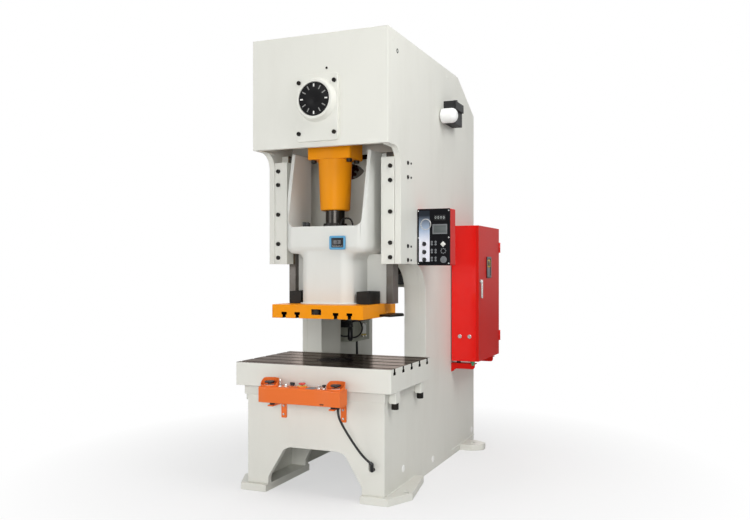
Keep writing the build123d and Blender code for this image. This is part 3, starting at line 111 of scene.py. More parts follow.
class Finish:
    """A paint, metal or plastic: a shader whose colour, gloss and relief vary over the piece.

    Its slot is the record's name for it, where that differs from its own."""

    def __init__(self, name, color, roughness, metallic=0.0, slot=None, **fixed):
        self.slot = slot or name
        self.material = bpy.data.materials.new(name)
        self.material.use_nodes = True
        self.tree = self.material.node_tree
        self.shader = self.tree.nodes["Principled BSDF"]
        self.relief = None
        self.give(base_color=(*color, 1), roughness=roughness, metallic=metallic, **fixed)
        self.place = self.node("TexCoord", output="Object")

    def node(self, kind, settings=None, inputs=None, output=0):
        """One node of the shader, with its settings and what it is fed, as the value that it gives."""
        made = self.tree.nodes.new(f"ShaderNode{kind}")
        for key, value in (settings or {}).items():
            if key == "stops":
                ramp = made.color_ramp
                while len(ramp.elements) < len(value):
                    ramp.elements.new(1)
                for stop, (position, level) in zip(ramp.elements, value):
                    stop.position = position
                    stop.color = (level, level, level, 1)
            else:
                setattr(made, key, value)
        for key, value in (inputs or {}).items():
            self.feed(made.inputs[key], value)
        return Shade(self, made.outputs[output])

    def feed(self, socket, value):
        if isinstance(value, Shade):
            self.tree.links.new(value.socket, socket)
        else:
            socket.default_value = value

    def give(self, **inputs):
        """Feeds the shader's own inputs, each by its name in small letters."""
        for key, value in inputs.items():
            self.feed(self.shader.inputs[key.replace("_", " ").title().replace("Ior", "IOR")], value)
        return self

    def noise(self, scale, detail=2.0, stretch=None, rough=0.5):
        """Fractal noise over the piece, scale in cells a metre; stretch lengthens it along an axis."""
        place = self.place
        if stretch:
            place = self.node("Mapping", inputs={"Vector": place, "Scale": stretch})
        return self.node("TexNoise", inputs={"Vector": place, "Scale": scale, "Detail": detail, "Roughness": rough})

    def ramp(self, value, *stops):
        """A value taken along a ramp of (position, level) stops."""
        return self.node("ValToRGB", {"stops": stops}, {0: value})

    def axis(self, letter):
        """How far along X, Y or Z a point of the piece lies, in metres."""
        return self.node("SeparateXYZ", inputs={0: self.place}, output=letter)

    def blend(self, factor, first, second):
        """A colour between two, each a plain colour or another blend."""
        first, second = (c if isinstance(c, Shade) else (*c, 1) for c in (first, second))
        return self.node("Mix", {"data_type": "RGBA"}, {0: factor, 6: first, 7: second}, output=2)

    def bump(self, height, depth, strength):
        """Adds relief of a depth in metres on top of what the finish already has."""
        inputs = {"Height": height, "Distance": depth, "Strength": strength}
        if self.relief:
            inputs["Normal"] = self.relief
        self.relief = self.node("Bump", inputs=inputs)
        return self.give(normal=self.relief)


# The floor and the paper behind it are white, and the floor keeps the soft shadow under the press.
studio_floor = bpy.data.objects.new("studio_floor", bpy.data.meshes.new("studio_floor"))
studio_floor.data.from_pydata([(-30, -30, 0), (30, -30, 0), (30, 30, 0), (-30, 30, 0)], [], [(0, 1, 2, 3)])
bpy.context.collection.objects.link(studio_floor)
paper = Finish("studio_paper", (0.8, 0.8, 0.8), 0.9)
distance = paper.node("VectorMath", {"operation": "LENGTH"}, {0: paper.place}, output="Value")
whitening = paper.ramp(distance * 0.1, (0.10, 0.55), (0.25, 1.0))
seen = paper.node("LightPath", output="Is Camera Ray")
glow = paper.node("Emission", inputs={"Color": (1, 1, 1, 1), "Strength": 1.0})
lit = Shade(paper, paper.shader.outputs[0])
surface = paper.node("MixShader", inputs={0: whitening * seen, 1: lit, 2: glow})
paper.feed(paper.tree.nodes["Material Output"].inputs["Surface"], surface)
studio_floor.data.materials.append(paper.material)

# The paper shows at full strength to the camera, in gloss and through glass, and lights the press at a fifth of it.
world = bpy.data.worlds.new("studio_paper")
bpy.context.scene.world = world
world.use_nodes = True
sky = world.node_tree
light_path = sky.nodes.new("ShaderNodeLightPath").outputs
seen_as_paper = light_path["Is Camera Ray"]
for kind in ("Is Glossy Ray", "Is Transmission Ray"):
    either = sky.nodes.new("ShaderNodeMath")
    either.operation = "MAXIMUM"
    sky.links.new(seen_as_paper, either.inputs[0])
    sky.links.new(light_path[kind], either.inputs[1])
    seen_as_paper = either.outputs[0]
strength = sky.nodes.new("ShaderNodeMapRange")
strength.inputs["To Min"].default_value = 0.2
strength.inputs["To Max"].default_value = 1.0
sky.links.new(seen_as_paper, strength.inputs["Value"])
sky.links.new(strength.outputs["Result"], sky.nodes["Background"].inputs["Strength"])
sky.nodes["Background"].inputs["Color"].default_value = (1, 1, 1, 1)


# Welded frame
# Flame-cut steel plates: two thick cheeks, the head's front and roof, the walls inside, the bed, the base and its
# feet. They are welded together, the edges ground round, and the whole is sprayed with pale grey enamel.
def toned(color, factor):
    """A colour made darker or lighter by a factor."""
    return tuple(min(level * factor, 1) for level in color)


def enamel(name, color, gloss=0.36, shine=0.16, slot=None):
    """Sprayed machine enamel: its tone drifts, thin dirt runs down it, and it has the texture of orange peel."""
    paint = Finish(name, color, gloss, slot=slot, specular_ior_level=shine)
    drift = paint.noise(1.7, 3.0)
    runs = paint.ramp(paint.noise(5.0, 7.0, (1.0, 1.0, 0.22), 0.62), (0.5, 0.0), (0.8, 0.75))
    specks = paint.ramp(paint.noise(95.0, 4.0), (0.66, 0.0), (0.74, 0.5))
    tone = paint.blend(drift, toned(color, 0.96), toned(color, 1.04))
    soiled = paint.blend(runs * 0.12, tone, toned((0.30, 0.27, 0.22), 0.5 + color[0]))
    paint.give(base_color=paint.blend(specks * 0.14, soiled, toned(color, 0.5)))
    paint.give(roughness=gloss + drift * 0.08 + runs * 0.16 + paint.noise(24.0, 3.0) * 0.06)
    paint.bump(paint.noise(430.0, 2.0), 0.00035, 0.35)
    return paint.bump(paint.noise(6.0, 2.0), 0.004, 0.10)


bodies = frame["record"]["behaviour"]["bodies"]
carrier = {node: body for body, nodes in bodies.items() for node in nodes}


def shown(name, mesh, finish, body):
    """A finished piece of the press, standing where its mesh says and moving with one of the press's bodies."""
    made = bpy.data.objects.new(name, mesh)
    bpy.context.collection.objects.link(made)
    if not mesh.materials:
        mesh.materials.append(finish.material)
    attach(made, body)
    return made


def eased(node, finish, width, inside=None, is_inside=None, flat=1.5):
    """A CAD piece with its edges rounded to a width in millimetres.

    Faces that is_inside picks, by their middle and normal, take the finish inside. Faces that meet within flat
    degrees become one, and edges of more than 32 degrees are rounded."""
    shape = bmesh.new()
    shape.from_mesh(frame["nodes"][node].data)
    bmesh.ops.remove_doubles(shape, verts=shape.verts, dist=2e-5)
    bmesh.ops.dissolve_limit(shape, angle_limit=radians(flat), verts=shape.verts, edges=shape.edges)
    mesh = bpy.data.meshes.new(f"{node}_eased")
    mesh.materials.append(finish.material)
    if inside:
        mesh.materials.append(inside.material)
        for face in shape.faces:
            face.material_index = int(is_inside(face.calc_center_median() * 1000, face.normal))
    shape.to_mesh(mesh)
    mesh.shade_smooth()
    made = shown(f"{node}_eased", mesh, finish, carrier[node])
    bevel = made.modifiers.new("ground_edges", "BEVEL")
    bevel.width = width / 1000
    bevel.segments = 2
    bevel.limit_method = "ANGLE"
    bevel.angle_limit = radians(32)
    bevel.use_clamp_overlap = False
    flats = made.modifiers.new("flat_faces", "WEIGHTED_NORMAL")
    flats.weight = 100
    flats.keep_sharp = True
    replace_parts(made, node)
    return made


cream = enamel("cream_paint", (0.737, 0.737, 0.680))
for node, width in (
    ("side_plates", 2.5), ("head_front_plate", 2.5), ("head_roof", 2.5), ("rear_cover", 1),
    ("columns", 2.5), ("bed_plate", 2.5), ("base_front_plate", 3), ("base_webs", 2), ("feet", 3),
):
    eased(node, cream, width)
# Inside the head, from behind the guides to the motor's shelf, the walls have only their red primer, darkened as
# painted shade.
guide_wall_y, shelf_y = -175, 400
# The primer's colour is far darker than real red oxide: painted shade for the dim inside of the head.
primer = enamel("oxide_primer", (0.085, 0.016, 0.011), 0.6)
eased("inner_plates", cream, 2, inside=primer, is_inside=lambda middle, normal: guide_wall_y < middle.y < shelf_y)


# Fillet welds
# Beads of weld metal where the cheeks stand on the feet, where the bed meets the cheeks and the columns, and under
# the head's front. They were laid by hand in short overlapping ripples and sprayed over with the frame's paint.
def node_tree(name, *inputs):
    """A Geometry Nodes tree with named inputs for its sizes and its finish, and the sockets they arrive on."""
    tree = bpy.data.node_groups.new(name, "GeometryNodeTree")
    for label, kind, value in (("Geometry", "Geometry", None), *inputs, ("Finish", "Material", None)):
        socket = tree.interface.new_socket(label, in_out="INPUT", socket_type=f"NodeSocket{kind}")
        if value is not None:
            socket.default_value = value
    tree.interface.new_socket("Geometry", in_out="OUTPUT", socket_type="NodeSocketGeometry")
    return tree, tree.nodes.new("NodeGroupInput").outputs


def step(tree, kind, settings=None, **links):
    """One node of a tree. Its sockets are given by name, with _ for a blank, or as in_0, in_1 by number."""
    made = tree.nodes.new(kind)
    for key, value in (settings or {}).items():
        setattr(made, key, value)
    for key, value in links.items():
        if key.startswith("in_"):
            socket = made.inputs[int(key[3:])]
        else:
            socket = made.inputs[key.replace("_", " ")]
        if isinstance(value, bpy.types.NodeSocket):
            tree.links.new(value, socket)
        else:
            socket.default_value = value
    return made


def gives(tree, geometry, material):
    """Ends a tree: what it gives back is real geometry in its finish."""
    solid = step(tree, "GeometryNodeRealizeInstances", Geometry=geometry.outputs[0])
    coated = step(tree, "GeometryNodeSetMaterial", Geometry=solid.outputs[0], Material=material)
    tree.links.new(coated.outputs[0], tree.nodes.new("NodeGroupOutput").inputs[0])


def plain_mesh(holder):
    """The mesh that an object's curve, text or modifier comes to. The object itself goes."""
    mesh = bpy.data.meshes.new_from_object(holder.evaluated_get(bpy.context.evaluated_depsgraph_get()))
    holder.modifiers.clear()
    bpy.data.objects.remove(holder)
    return mesh


def grown(name, seed_mesh, tree, values, finish, body="frame"):
    """What a tree makes from a seed mesh, its inputs given by name, as a piece of the press."""
    holder = bpy.data.objects.new(f"{name}_seed", seed_mesh)
    bpy.context.collection.objects.link(holder)
    modifier = holder.modifiers.new("tree", "NODES")
    modifier.node_group = tree
    by_name = {item.name: item.identifier for item in tree.interface.items_tree if item.in_out == "INPUT"}
    for label, value in {**values, "Finish": finish.material}.items():
        modifier[by_name[label]] = value
    mesh = plain_mesh(holder)
    mesh.name = name
    mesh.set_sharp_from_angle(angle=radians(38))
    return shown(name, mesh, finish, body)


def point(x, y, z):
    """A place given in millimetres, in the metres of the scene."""
    return Vector((x, y, z)) / 1000


def dots(places, edges=()):
    """A seed mesh of points in millimetres, joined by edges where they are given."""
    mesh = bpy.data.meshes.new("seed")
    mesh.from_pydata([tuple(point(*place)) for place in places], edges, [])
    return mesh


weld, given = node_tree("weld_bead", ("Leg", "Float", 0.0065), ("Pitch", "Float", 0.007), ("Seed", "Int", 3))
line = step(weld, "GeometryNodeMeshToCurve", Mesh=given["Geometry"])
stops = step(weld, "GeometryNodeResampleCurve", {"mode": "LENGTH"}, Curve=line.outputs[0], Length=given["Pitch"])
run = step(weld, "GeometryNodeInputTangent")
turn = step(weld, "FunctionNodeAlignRotationToVector", {"axis": "Z"}, Vector=run.outputs[0])
ripple = step(weld, "GeometryNodeMeshUVSphere", Segments=10, Rings=6, Radius=given["Leg"])
jitter = step(weld, "FunctionNodeRandomValue", {"data_type": "FLOAT_VECTOR"}, in_0=(0.82, 0.82, 0.75),
              in_1=(1.0, 1.0, 1.0), Seed=given["Seed"])
beads = step(weld, "GeometryNodeInstanceOnPoints", Points=stops.outputs[0], Instance=ripple.outputs[0],
             Rotation=turn.outputs[0], Scale=jitter.outputs[0])
solid = step(weld, "GeometryNodeRealizeInstances", Geometry=beads.outputs[0])
gives(weld, step(weld, "GeometryNodeSetShadeSmooth", Geometry=solid.outputs[0]), given["Finish"])
# Millimetres from the middle of the four anchors: how far out the cheeks' faces are, and how high the seams run.
cheek, cheek_inside = 470, 430
foot_top, bed_top, head_bottom = 45, 662, 2150
ends = []
for side in (-1, 1):
    for x, z, front, back in (
        (cheek, foot_top, -820, -350), (cheek, foot_top, 420, 990), (cheek_inside, bed_top, -820, -160),
    ):
        ends += (side * x, front, z), (side * x, back, z)
    ends += (side * 322, -158, bed_top), (side * 428, -158, bed_top)
    ends += (side * cheek_inside, -780, head_bottom), (side * cheek_inside, -620, head_bottom)
grown("frame_welds", dots(ends, [(i, i + 1) for i in range(0, len(ends), 2)]), weld, {}, cream)


# Bolster
# A thick forged steel plate clamped on the bed by four lugs. Its top and T-slots are ground and carry oil stains, their
# steel coloured near black as a painted dark reflection; its edges carry the frame's enamel, and a loose steel disc
# closes the knock-out hole in its middle.
def worked(name, color, roughness, grain, depth=0.00012, stained=0.5, rim=(1.0, 1.0, 1.0), slot=None):
    """Bare metal with tool marks and faint stains.

    The marks are finer along the larger numbers of grain, and depth is theirs in metres. Rim tints what the metal
    mirrors at a grazing angle."""
    steel = Finish(name, color, roughness, metallic=0.9, slot=slot, specular_tint=(*rim, 1), specular_ior_level=0.2)
    marks = steel.noise(60.0, 4.0, grain)
    stain = steel.ramp(steel.noise(9.0, 6.0, rough=0.65), (0.42, 0.0), (0.72, stained))
    tone = steel.blend(marks, toned(color, 0.82), toned(color, 1.18))
    steel.give(base_color=steel.blend(stain, tone, toned((0.20, 0.15, 0.10), 0.35 + color[0])))
    steel.give(roughness=roughness - 0.08 + marks * 0.16 + stain * 0.22, metallic=0.95 - stain * 0.35)
    return steel.bump(marks, depth, 0.6)


# The ground steel is coloured near black, a painted dark reflection, with real oil stains over it.
ground_steel = worked("ground_steel", (0.066, 0.053, 0.046), 0.17, (1.0, 14.0, 14.0), 0.00005, 0.35, (0.30, 0.24, 0.20))
# The plate's top and all faces between its four painted edges are bare.
plate_side, plate_front, plate_back = 523, -905, -239
eased("bolster_plate", cream, 2, inside=ground_steel, is_inside=lambda middle, normal: (
    normal.z > 0.5 or (abs(middle.x) < plate_side and plate_front < middle.y < plate_back)))
# The disc is faced on a lathe, so fine rings run round its middle under the ram.
ram_y = -572
disc_steel = worked("machined_steel", (0.035, 0.032, 0.036), 0.26, (5.0, 5.0, 5.0), rim=(0.2, 0.16, 0.17))
from_middle = disc_steel.node(
    "Mapping", inputs={"Vector": disc_steel.place, "Location": (0, -ram_y / 1000, 0), "Scale": (1, 1, 0)})
out = disc_steel.node("VectorMath", {"operation": "LENGTH"}, {0: from_middle}, output="Value")
disc_steel.bump(disc_steel.node("Math", {"operation": "SINE"}, {0: out * 2600.0}), 0.00006, 0.5)
eased("bolster_disc", disc_steel, 1.5)
eased("bolster_lugs", cream, 2)


# Gibs
# Two machined cast-iron guides, painted with the frame, hold the slide in at the front, five screws to a side. Bronze
# strips line them, and the frame's own guides beside and behind the slide.
def painted(node, finish):
    """A CAD piece whose own shape shows: its slots take this finish."""
    for holder in frame["nodes"][node].material_slots:
        holder.material = finish.material


bronze = worked("bronze", (0.20, 0.145, 0.085), 0.40, (12.0, 12.0, 1.0))
eased("front_gibs", cream, 2.5)
painted("gib_liners", bronze)


# Socket screws
# Black high-tensile cap screws hold the lugs, gibs, rod cap and dial cover. Each head is turned with a chamfer and a
# broached hexagon socket, and stands in its row at whatever angle it was tightened to.
def lathe(stations, count=30):
    """A closed shape turned about Z. A station is (radius, height), and a third value makes it a hexagon."""
    shape = bmesh.new()
    rings = []
    for radius, height, *flats in stations:
        ring = []
        for i in range(count if radius else 1):
            angle = 2 * pi * i / count
            reach = radius / cos(angle % (pi / 3) - pi / 6) if flats else radius
            ring.append(shape.verts.new((reach * cos(angle), reach * sin(angle), height)))
        rings.append(ring)
    for low, high in zip(rings, rings[1:]):
        for i in range(count):
            j = (i + 1) % count
            corners = low[i % len(low)], low[j % len(low)], high[j % len(high)], high[i % len(high)]
            shape.faces.new(dict.fromkeys(corners))
    return shape


def formed(shape):
    """The mesh of a shape drawn in millimetres."""
    shape.transform(Matrix.Scale(0.001, 4))
    mesh = bpy.data.meshes.new("formed")
    shape.to_mesh(mesh)
    mesh.shade_smooth()
    mesh.set_sharp_from_angle(angle=radians(35))
    return mesh


black_steel = worked("black_steel", (0.022, 0.021, 0.020), 0.42, (1.0, 1.0, 1.0), 0.0002, 0.25)
rows, given = node_tree(
    "screw_row", ("Head", "Object", None), ("Facing", "Vector", (0, 0, 1)), ("Size", "Float", 1.0), ("Seed", "Int", 5))
head = step(rows, "GeometryNodeObjectInfo", Object=given["Head"])
spots = step(rows, "GeometryNodeMeshToPoints", Mesh=given["Geometry"])
aim = step(rows, "FunctionNodeAlignRotationToVector", {"axis": "Z"}, Vector=given["Facing"])
angle = step(rows, "FunctionNodeRandomValue", {"data_type": "FLOAT"}, in_2=0.0, in_3=1.05, Seed=given["Seed"])
twist = step(rows, "ShaderNodeCombineXYZ", Z=angle.outputs[1])
tightened = step(rows, "FunctionNodeRotateRotation", {"rotation_space": "LOCAL"}, in_0=aim.outputs[0],
                 in_1=twist.outputs[0])
fitted = step(rows, "GeometryNodeInstanceOnPoints", Points=spots.outputs[0], Instance=head.outputs["Geometry"],
              Rotation=tightened.outputs[0], Scale=given["Size"])
gives(rows, fitted, given["Finish"])


def cap_head(radius, height, socket):
    """A socket cap screw's head: radius, height and socket across flats in millimetres, standing on Z 0."""
    return lathe((
        (0, -1), (radius, -1), (radius, height - 1.8), (radius - 0.6, height - 0.5), (radius - 2, height),
        (socket / 2 + 1.2, height), (socket / 2, height - 1, 6), (socket / 2, height * 0.45, 6), (0, height * 0.35),
    ))


def screws(name, head, places, facing, finish, body="frame", seed=5):
    """A row of like fixings as one piece: a head's shape repeated at places in millimetres."""
    pattern = bpy.data.objects.new(f"{name}_head", formed(head))
    bpy.context.collection.objects.link(pattern)
    made = grown(name, dots(places), rows, {"Head": pattern, "Facing": Vector(facing), "Seed": seed}, finish, body)
    bpy.data.objects.remove(pattern)
    return made


forward, gib_face = (0, -1, 0), -608
gib_heads = [(side * 401, gib_face, z) for side in (-1, 1) for z in (1466, 1557, 1751, 1947, 2037)]
gib_screws = screws("gib_screws", cap_head(13.5, 12, 14), gib_heads, forward, black_steel, seed=4)
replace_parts(gib_screws, "frame_bolts")
cover_face, cover_middle = -830, 2389
cover_heads = [(x, cover_face, cover_middle + z) for x in (-122, 122) for z in (-158, 158)]
screws("dial_cover_screws", cap_head(13, 12, 14), cover_heads, forward, black_steel, seed=9)
# Those in the lugs are driven from below, and at the left they are painted over.
lug_bottom = 592
sides = (("left", -1), ("right", 1))
for (name, side), finish in zip(sides, (cream, black_steel)):
    lug_heads = [(side * 505, y, lug_bottom) for y in (-787, -357)]
    screws(f"lug_screws_{name}", cap_head(22, 38, 22), lug_heads, (0, 0, -1), finish, seed=2)


# Gib adjusters
# Hexagon adjusters of blackened steel go through the cheeks, four to a side, and press the side strips against the
# slide. Each is locked by a small socket screw beside it.
adjuster = lathe((
    (0, -1), (12, -1, 6), (12, 4.6, 6), (11, 5.4), (7, 5.4), (7, 6.5), (6.4, 7.9), (3.4, 7.9), (3, 7.2, 6), (3, 4, 6),
    (0, 3.6),
))
lock_screw = lathe(((0, -1), (7, -1), (7, 4), (6, 5), (2.6, 5), (2.6, 2, 6), (0, 2)), 18)
for name, side in sides:
    for row, shape, y, heights in (
        ("adjuster_locks", lock_screw, -432, (1448, 1536, 1978, 2069)),
        ("gib_adjusters", adjuster, -488, (1450, 1538, 1976, 2067)),
    ):
        places = [(side * cheek, y, z) for z in heights]
        screws(f"{row}_{name}", shape.copy(), places, (side, 0, 0), black_steel, seed=7)


# Plugs in the cheeks
# Plugs close the holes in the cheeks and the head's front: blackened steel in the lifting holes, threaded plugs
# painted over with the frame beside them, and white plastic caps pushed into the low holes for anchor bars.
plug_head = lathe((
    (0, -2), (15, -2), (15, 0.6), (14, 1.5), (8.5, 1.5), (7.5, 0.6, 6), (7.5, -1.2, 6), (0, -1.4),
))
button_plug = lathe(((0, 1), (23, 0), (23, 1.6), (21, 3.4), (12, 4.6), (0, 5)), 36)


def moulded(name, color, roughness, speckle, grain=None, **fixed):
    """A plastic, rubber, glass or print. Speckle is how its gloss varies and grain its relief, where it has one:
    each gives cells a metre and detail, then how much the gloss varies, or the relief's depth and strength."""
    skin = Finish(name, color, roughness, **fixed)
    cells, detail, spread = speckle
    skin.give(roughness=roughness + skin.noise(cells, detail) * spread)
    if grain:
        cells, detail, depth, strength = grain
        skin.bump(skin.noise(cells, detail), depth, strength)
    return skin


plug_white = moulded("white_cap_plastic", (0.90, 0.90, 0.88), 0.36, (70.0, 3.0, 0.1), (900.0, 2.0, 0.00005, 0.4),
                     slot="white_plastic")
for name, side in sides:
    for row, shape, places, finish in (
        ("lifting_plugs", plug_head, ((-663, 2732),), black_steel),
        ("oil_plugs", plug_head, ((-723, 2790), (312, 2791), (536, 2793)), cream),
        ("anchor_plugs", button_plug, ((-567, 144), (-7, 75), (932, 97)), plug_white),
    ):
        screws(f"{row}_{name}", shape.copy(), [(side * cheek, y, z) for y, z in places], (side, 0, 0), finish)
socket = lathe(((0, -1), (8, -1), (8, 0.8), (7, 1.6), (4, 1.6), (3.4, 0.6, 6), (0, 0.4)), 20)
screws("head_plug", socket, [(59, -810, 2632)], forward, black_steel)


# Crankshaft and gears
# A forged crank lies front to back in bronze bushes, with a spur gear keyed on behind. The pinion that drives it runs
# on the flywheel's shaft. Journals are ground bright, and the gear's web is painted red inside its bare rim, its red
# darkened as painted shade.
journal_steel = worked("journal_steel", (0.40, 0.385, 0.36), 0.25, (1.0, 16.0, 1.0), 0.00005, 0.3)
gear_steel = worked("gear_steel", (0.20, 0.19, 0.175), 0.36, (4.0, 10.0, 4.0), 0.0002, 0.5, slot="machined_steel")
painted("crankshaft", journal_steel)
painted("shaft_bushes", bronze)
# The web's red is made near black: real red paint with painted shade for the dim inside of the head.
shaded_gear_red = enamel("gear_paint", (0.050, 0.010, 0.008), 0.5)
crank_height, web_radius = 2435, 308
eased("crank_gear", gear_steel, 0.8, inside=shaded_gear_red,
      is_inside=lambda middle, normal: Vector((middle.x, middle.z - crank_height)).length < web_radius)
eased("pinion_shaft", gear_steel, 0.8)


# Connecting rod
# A ductile-iron casting: a split block round the crank pin, lined with bronze and bolted to a tapering neck. It is
# sprayed orange, and the round die-height screw of polished black steel runs up inside it.
deep_orange = enamel("deep_orange_paint", (0.84, 0.30, 0.006), 0.27, 0.06)
eased("conrod", deep_orange, 3)
eased("conrod_cap", deep_orange, 3)
painted("conrod_bush", bronze)
painted("crank_pin", journal_steel)
cap_bottom = 2094
rod_heads = [(x, ram_y + y, cap_bottom) for x in (-126, 126) for y in (-55, 55)]
rod_screws = screws("rod_screws", cap_head(18, 20, 19), rod_heads, (0, 0, -1), black_steel, "rod", seed=8)
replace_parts(rod_screws, "conrod_bolts")
oiled_steel = worked("oiled_steel", (0.030, 0.029, 0.028), 0.2, (12.0, 12.0, 1.0), 0.00005, 0.2, slot="machined_steel")
eased("ball_screw", oiled_steel, 1.5)
painted("ball_seat", bronze)


# Slide
# A cast-iron box as wide as the gibs, open at the top round the connecting rod, with long ground rails at its sides.
# It is sprayed white, and the rails below the gibs show as dark oily iron.
white = enamel("white_paint", (0.700, 0.706, 0.668), 0.34)
rail_steel = worked("rail_steel", (0.12, 0.11, 0.10), 0.38, (14.0, 14.0, 1.0), 0.0002, 0.5)
rail_inside, rail_front = 325, -519
eased("slide_body", white, 2.5, inside=rail_steel, flat=0.3,
      is_inside=lambda middle, normal: abs(middle.x) > rail_inside and middle.y > rail_front)


def tube(name, places, radius, along, around):
    """A round tube on a smooth line through control points in metres, so many steps along and around."""
    curve = bpy.data.curves.new(name, "CURVE")
    curve.dimensions = "3D"
    line = curve.splines.new("NURBS")
    line.points.add(len(places) - 1)
    for spot, place in zip(line.points, places):
        spot.co = (*place, 1)
    line.order_u = 3
    line.use_endpoint_u = True
    line.resolution_u = along
    curve.bevel_depth = radius
    curve.bevel_resolution = around
    curve.use_fill_caps = True
    made = bpy.data.objects.new(name, curve)
    bpy.context.collection.objects.link(made)
    return made


def pipe(name, places, radius, finish, body="frame"):
    """A formed pipe along control points in millimetres."""
    mesh = plain_mesh(tube(name, [point(*place) for place in places], radius / 1000, 10, 4))
    mesh.shade_smooth()
    mesh.set_sharp_from_angle(angle=radians(50))
    mesh.materials.clear()
    return shown(name, mesh, finish, body)


# A formed black pipe brings oil to the overload cushion beside the screw.
overload_bends = ((90, 1590), (91, 1660), (100, 1706), (132, 1714), (164, 1706), (179, 1664), (180, 1590))
pipe("overload_pipe", [(x, -680, z) for x, z in overload_bends], 5.5, black_steel, "slide")


# Slide face plate
# A flame-cut steel plate bolted under the slide, painted orange round its edges. Four T-slots are milled through it
# for the upper die, with bare steel inside, and a clamp for the die's shank sits in its front edge.
orange = enamel("orange_paint", (0.86, 0.30, 0.008), 0.28, 0.06)
plate_side, plate_front, plate_back, plate_top = 311, -831, -313, 1168
# Its underside and T-slots take the near-black ground steel, whose dark colour is a painted reflection.
eased("slide_plate", orange, 2, inside=ground_steel, is_inside=lambda middle, normal: normal.z < -0.5 or (
    abs(middle.x) < plate_side and plate_front < middle.y < plate_back and middle.z < plate_top))
painted("shank_screw", black_steel)


# Oil trays and bracket
# Folded sheet-metal trays under the gibs catch the oil that runs down the rails, and a bracket at the right carries
# the cam of the stroke switch. They are blackened and screwed to the plate.
eased("oil_trays", black_steel, 1)


# Die-height counter
# A moulded case on the slide's front with a window, where two number wheels and a fine scale show the shut height.
# The case is black with a blue frame round its glass, and a small stroke switch stands above it.
def softened(shape, width, angle=0, segments=2):
    """Rounds the edges of a shape at which its faces turn by more than an angle in degrees."""
    sharp = [edge for edge in shape.edges if edge.calc_face_angle(0) > radians(angle)]
    bmesh.ops.bevel(shape, geom=sharp, offset=width, segments=segments, profile=0.5, affect="EDGES", clamp_overlap=True)
    return shape


def block(low, high, edge, segments=2):
    """A rectangular body between two corners in millimetres, with its edges rounded."""
    shape = bmesh.new()
    bmesh.ops.create_cube(shape, size=1)
    middle = (Vector(low) + Vector(high)) / 2
    size = Vector(high) - Vector(low)
    shape.transform(Matrix.Translation(middle) @ Matrix.Diagonal((*size, 1)))
    return softened(shape, edge, segments=segments)


def joined(*shapes):
    """Several shapes as one."""
    whole = bmesh.new()
    for shape in shapes:
        mesh = bpy.data.meshes.new("part")
        shape.to_mesh(mesh)
        whole.from_mesh(mesh)
        bpy.data.meshes.remove(mesh)
    return whole


def set_on(shape, at, facing=(0, 0, 1)):
    """Stands a shape's Z on a place in millimetres, to face a way, with its Y kept upright where it can be."""
    way = Vector(facing)
    turned = Matrix.Identity(4) if way.z > 0.99 else way.to_track_quat("Z", "Y").to_matrix().to_4x4()
    shape.transform(Matrix.Translation(Vector(at)) @ turned)
    return shape


def fitting(name, shape, finish, body="frame", at=(0, 0, 0), facing=(0, 0, 1)):
    """A small piece of the press from a shape in millimetres, stood on a place to face a way."""
    return shown(name, formed(set_on(shape, at, facing)), finish, body)


def slab_of(outline, thickness, edge):
    """A flat plate on an outline of (x, y) in millimetres, from Z 0 up, with rounded edges."""
    shape = bmesh.new()
    corners = [shape.verts.new((x, y, 0)) for x, y in outline]
    face = shape.faces.new(corners)
    face.normal_update()
    if face.normal.z > 0:
        face.normal_flip()
    raised = bmesh.ops.extrude_face_region(shape, geom=[face])
    bmesh.ops.translate(shape, vec=(0, 0, thickness), verts=[v for v in raised["geom"]
                                                             if isinstance(v, bmesh.types.BMVert)])
    bmesh.ops.recalc_face_normals(shape, faces=shape.faces)
    return softened(shape, edge, 40)


def rounded(width, height, radius):
    """The outline of a rectangle with round corners about its middle."""
    steps = 6
    outline = []
    for corner, (x, y) in enumerate(((1, 1), (-1, 1), (-1, -1), (1, -1))):
        for i in range(steps + 1):
            angle = pi / 2 * (corner + i / steps)
            outline.append((x * (width / 2 - radius) + radius * cos(angle),
                            y * (height / 2 - radius) + radius * sin(angle)))
    return outline


def frame_of(outer, inner, thickness, edge=0.8):
    """A flat frame between two outlines with as many corners each, from Z 0 up."""
    shape = bmesh.new()
    loops = [[shape.verts.new((x, y, z)) for x, y in outline]
             for outline, z in ((outer, 0), (inner, 0), (inner, thickness), (outer, thickness))]
    for first, second in zip(loops, loops[1:] + loops[:1]):
        for i in range(len(first)):
            shape.faces.new((first[i - 1], second[i - 1], second[i], first[i]))
    bmesh.ops.recalc_face_normals(shape, faces=shape.faces)
    return softened(shape, edge, 50)


def lettered(name, text, height, at, finish, body="frame"):
    """Plain numbers in print, raised 0.2 mm from the upright face that they are on."""
    curve = bpy.data.curves.new(name, "FONT")
    curve.body = text
    curve.size = height / 1000
    curve.align_x = "CENTER"
    curve.align_y = "CENTER"
    curve.extrude = 0.0002
    holder = bpy.data.objects.new(name, curve)
    bpy.context.collection.objects.link(holder)
    mesh = plain_mesh(holder)
    mesh.transform(Matrix.Translation(point(*at)) @ Matrix.Rotation(pi / 2, 4, "X"))
    return shown(name, mesh, finish, body)


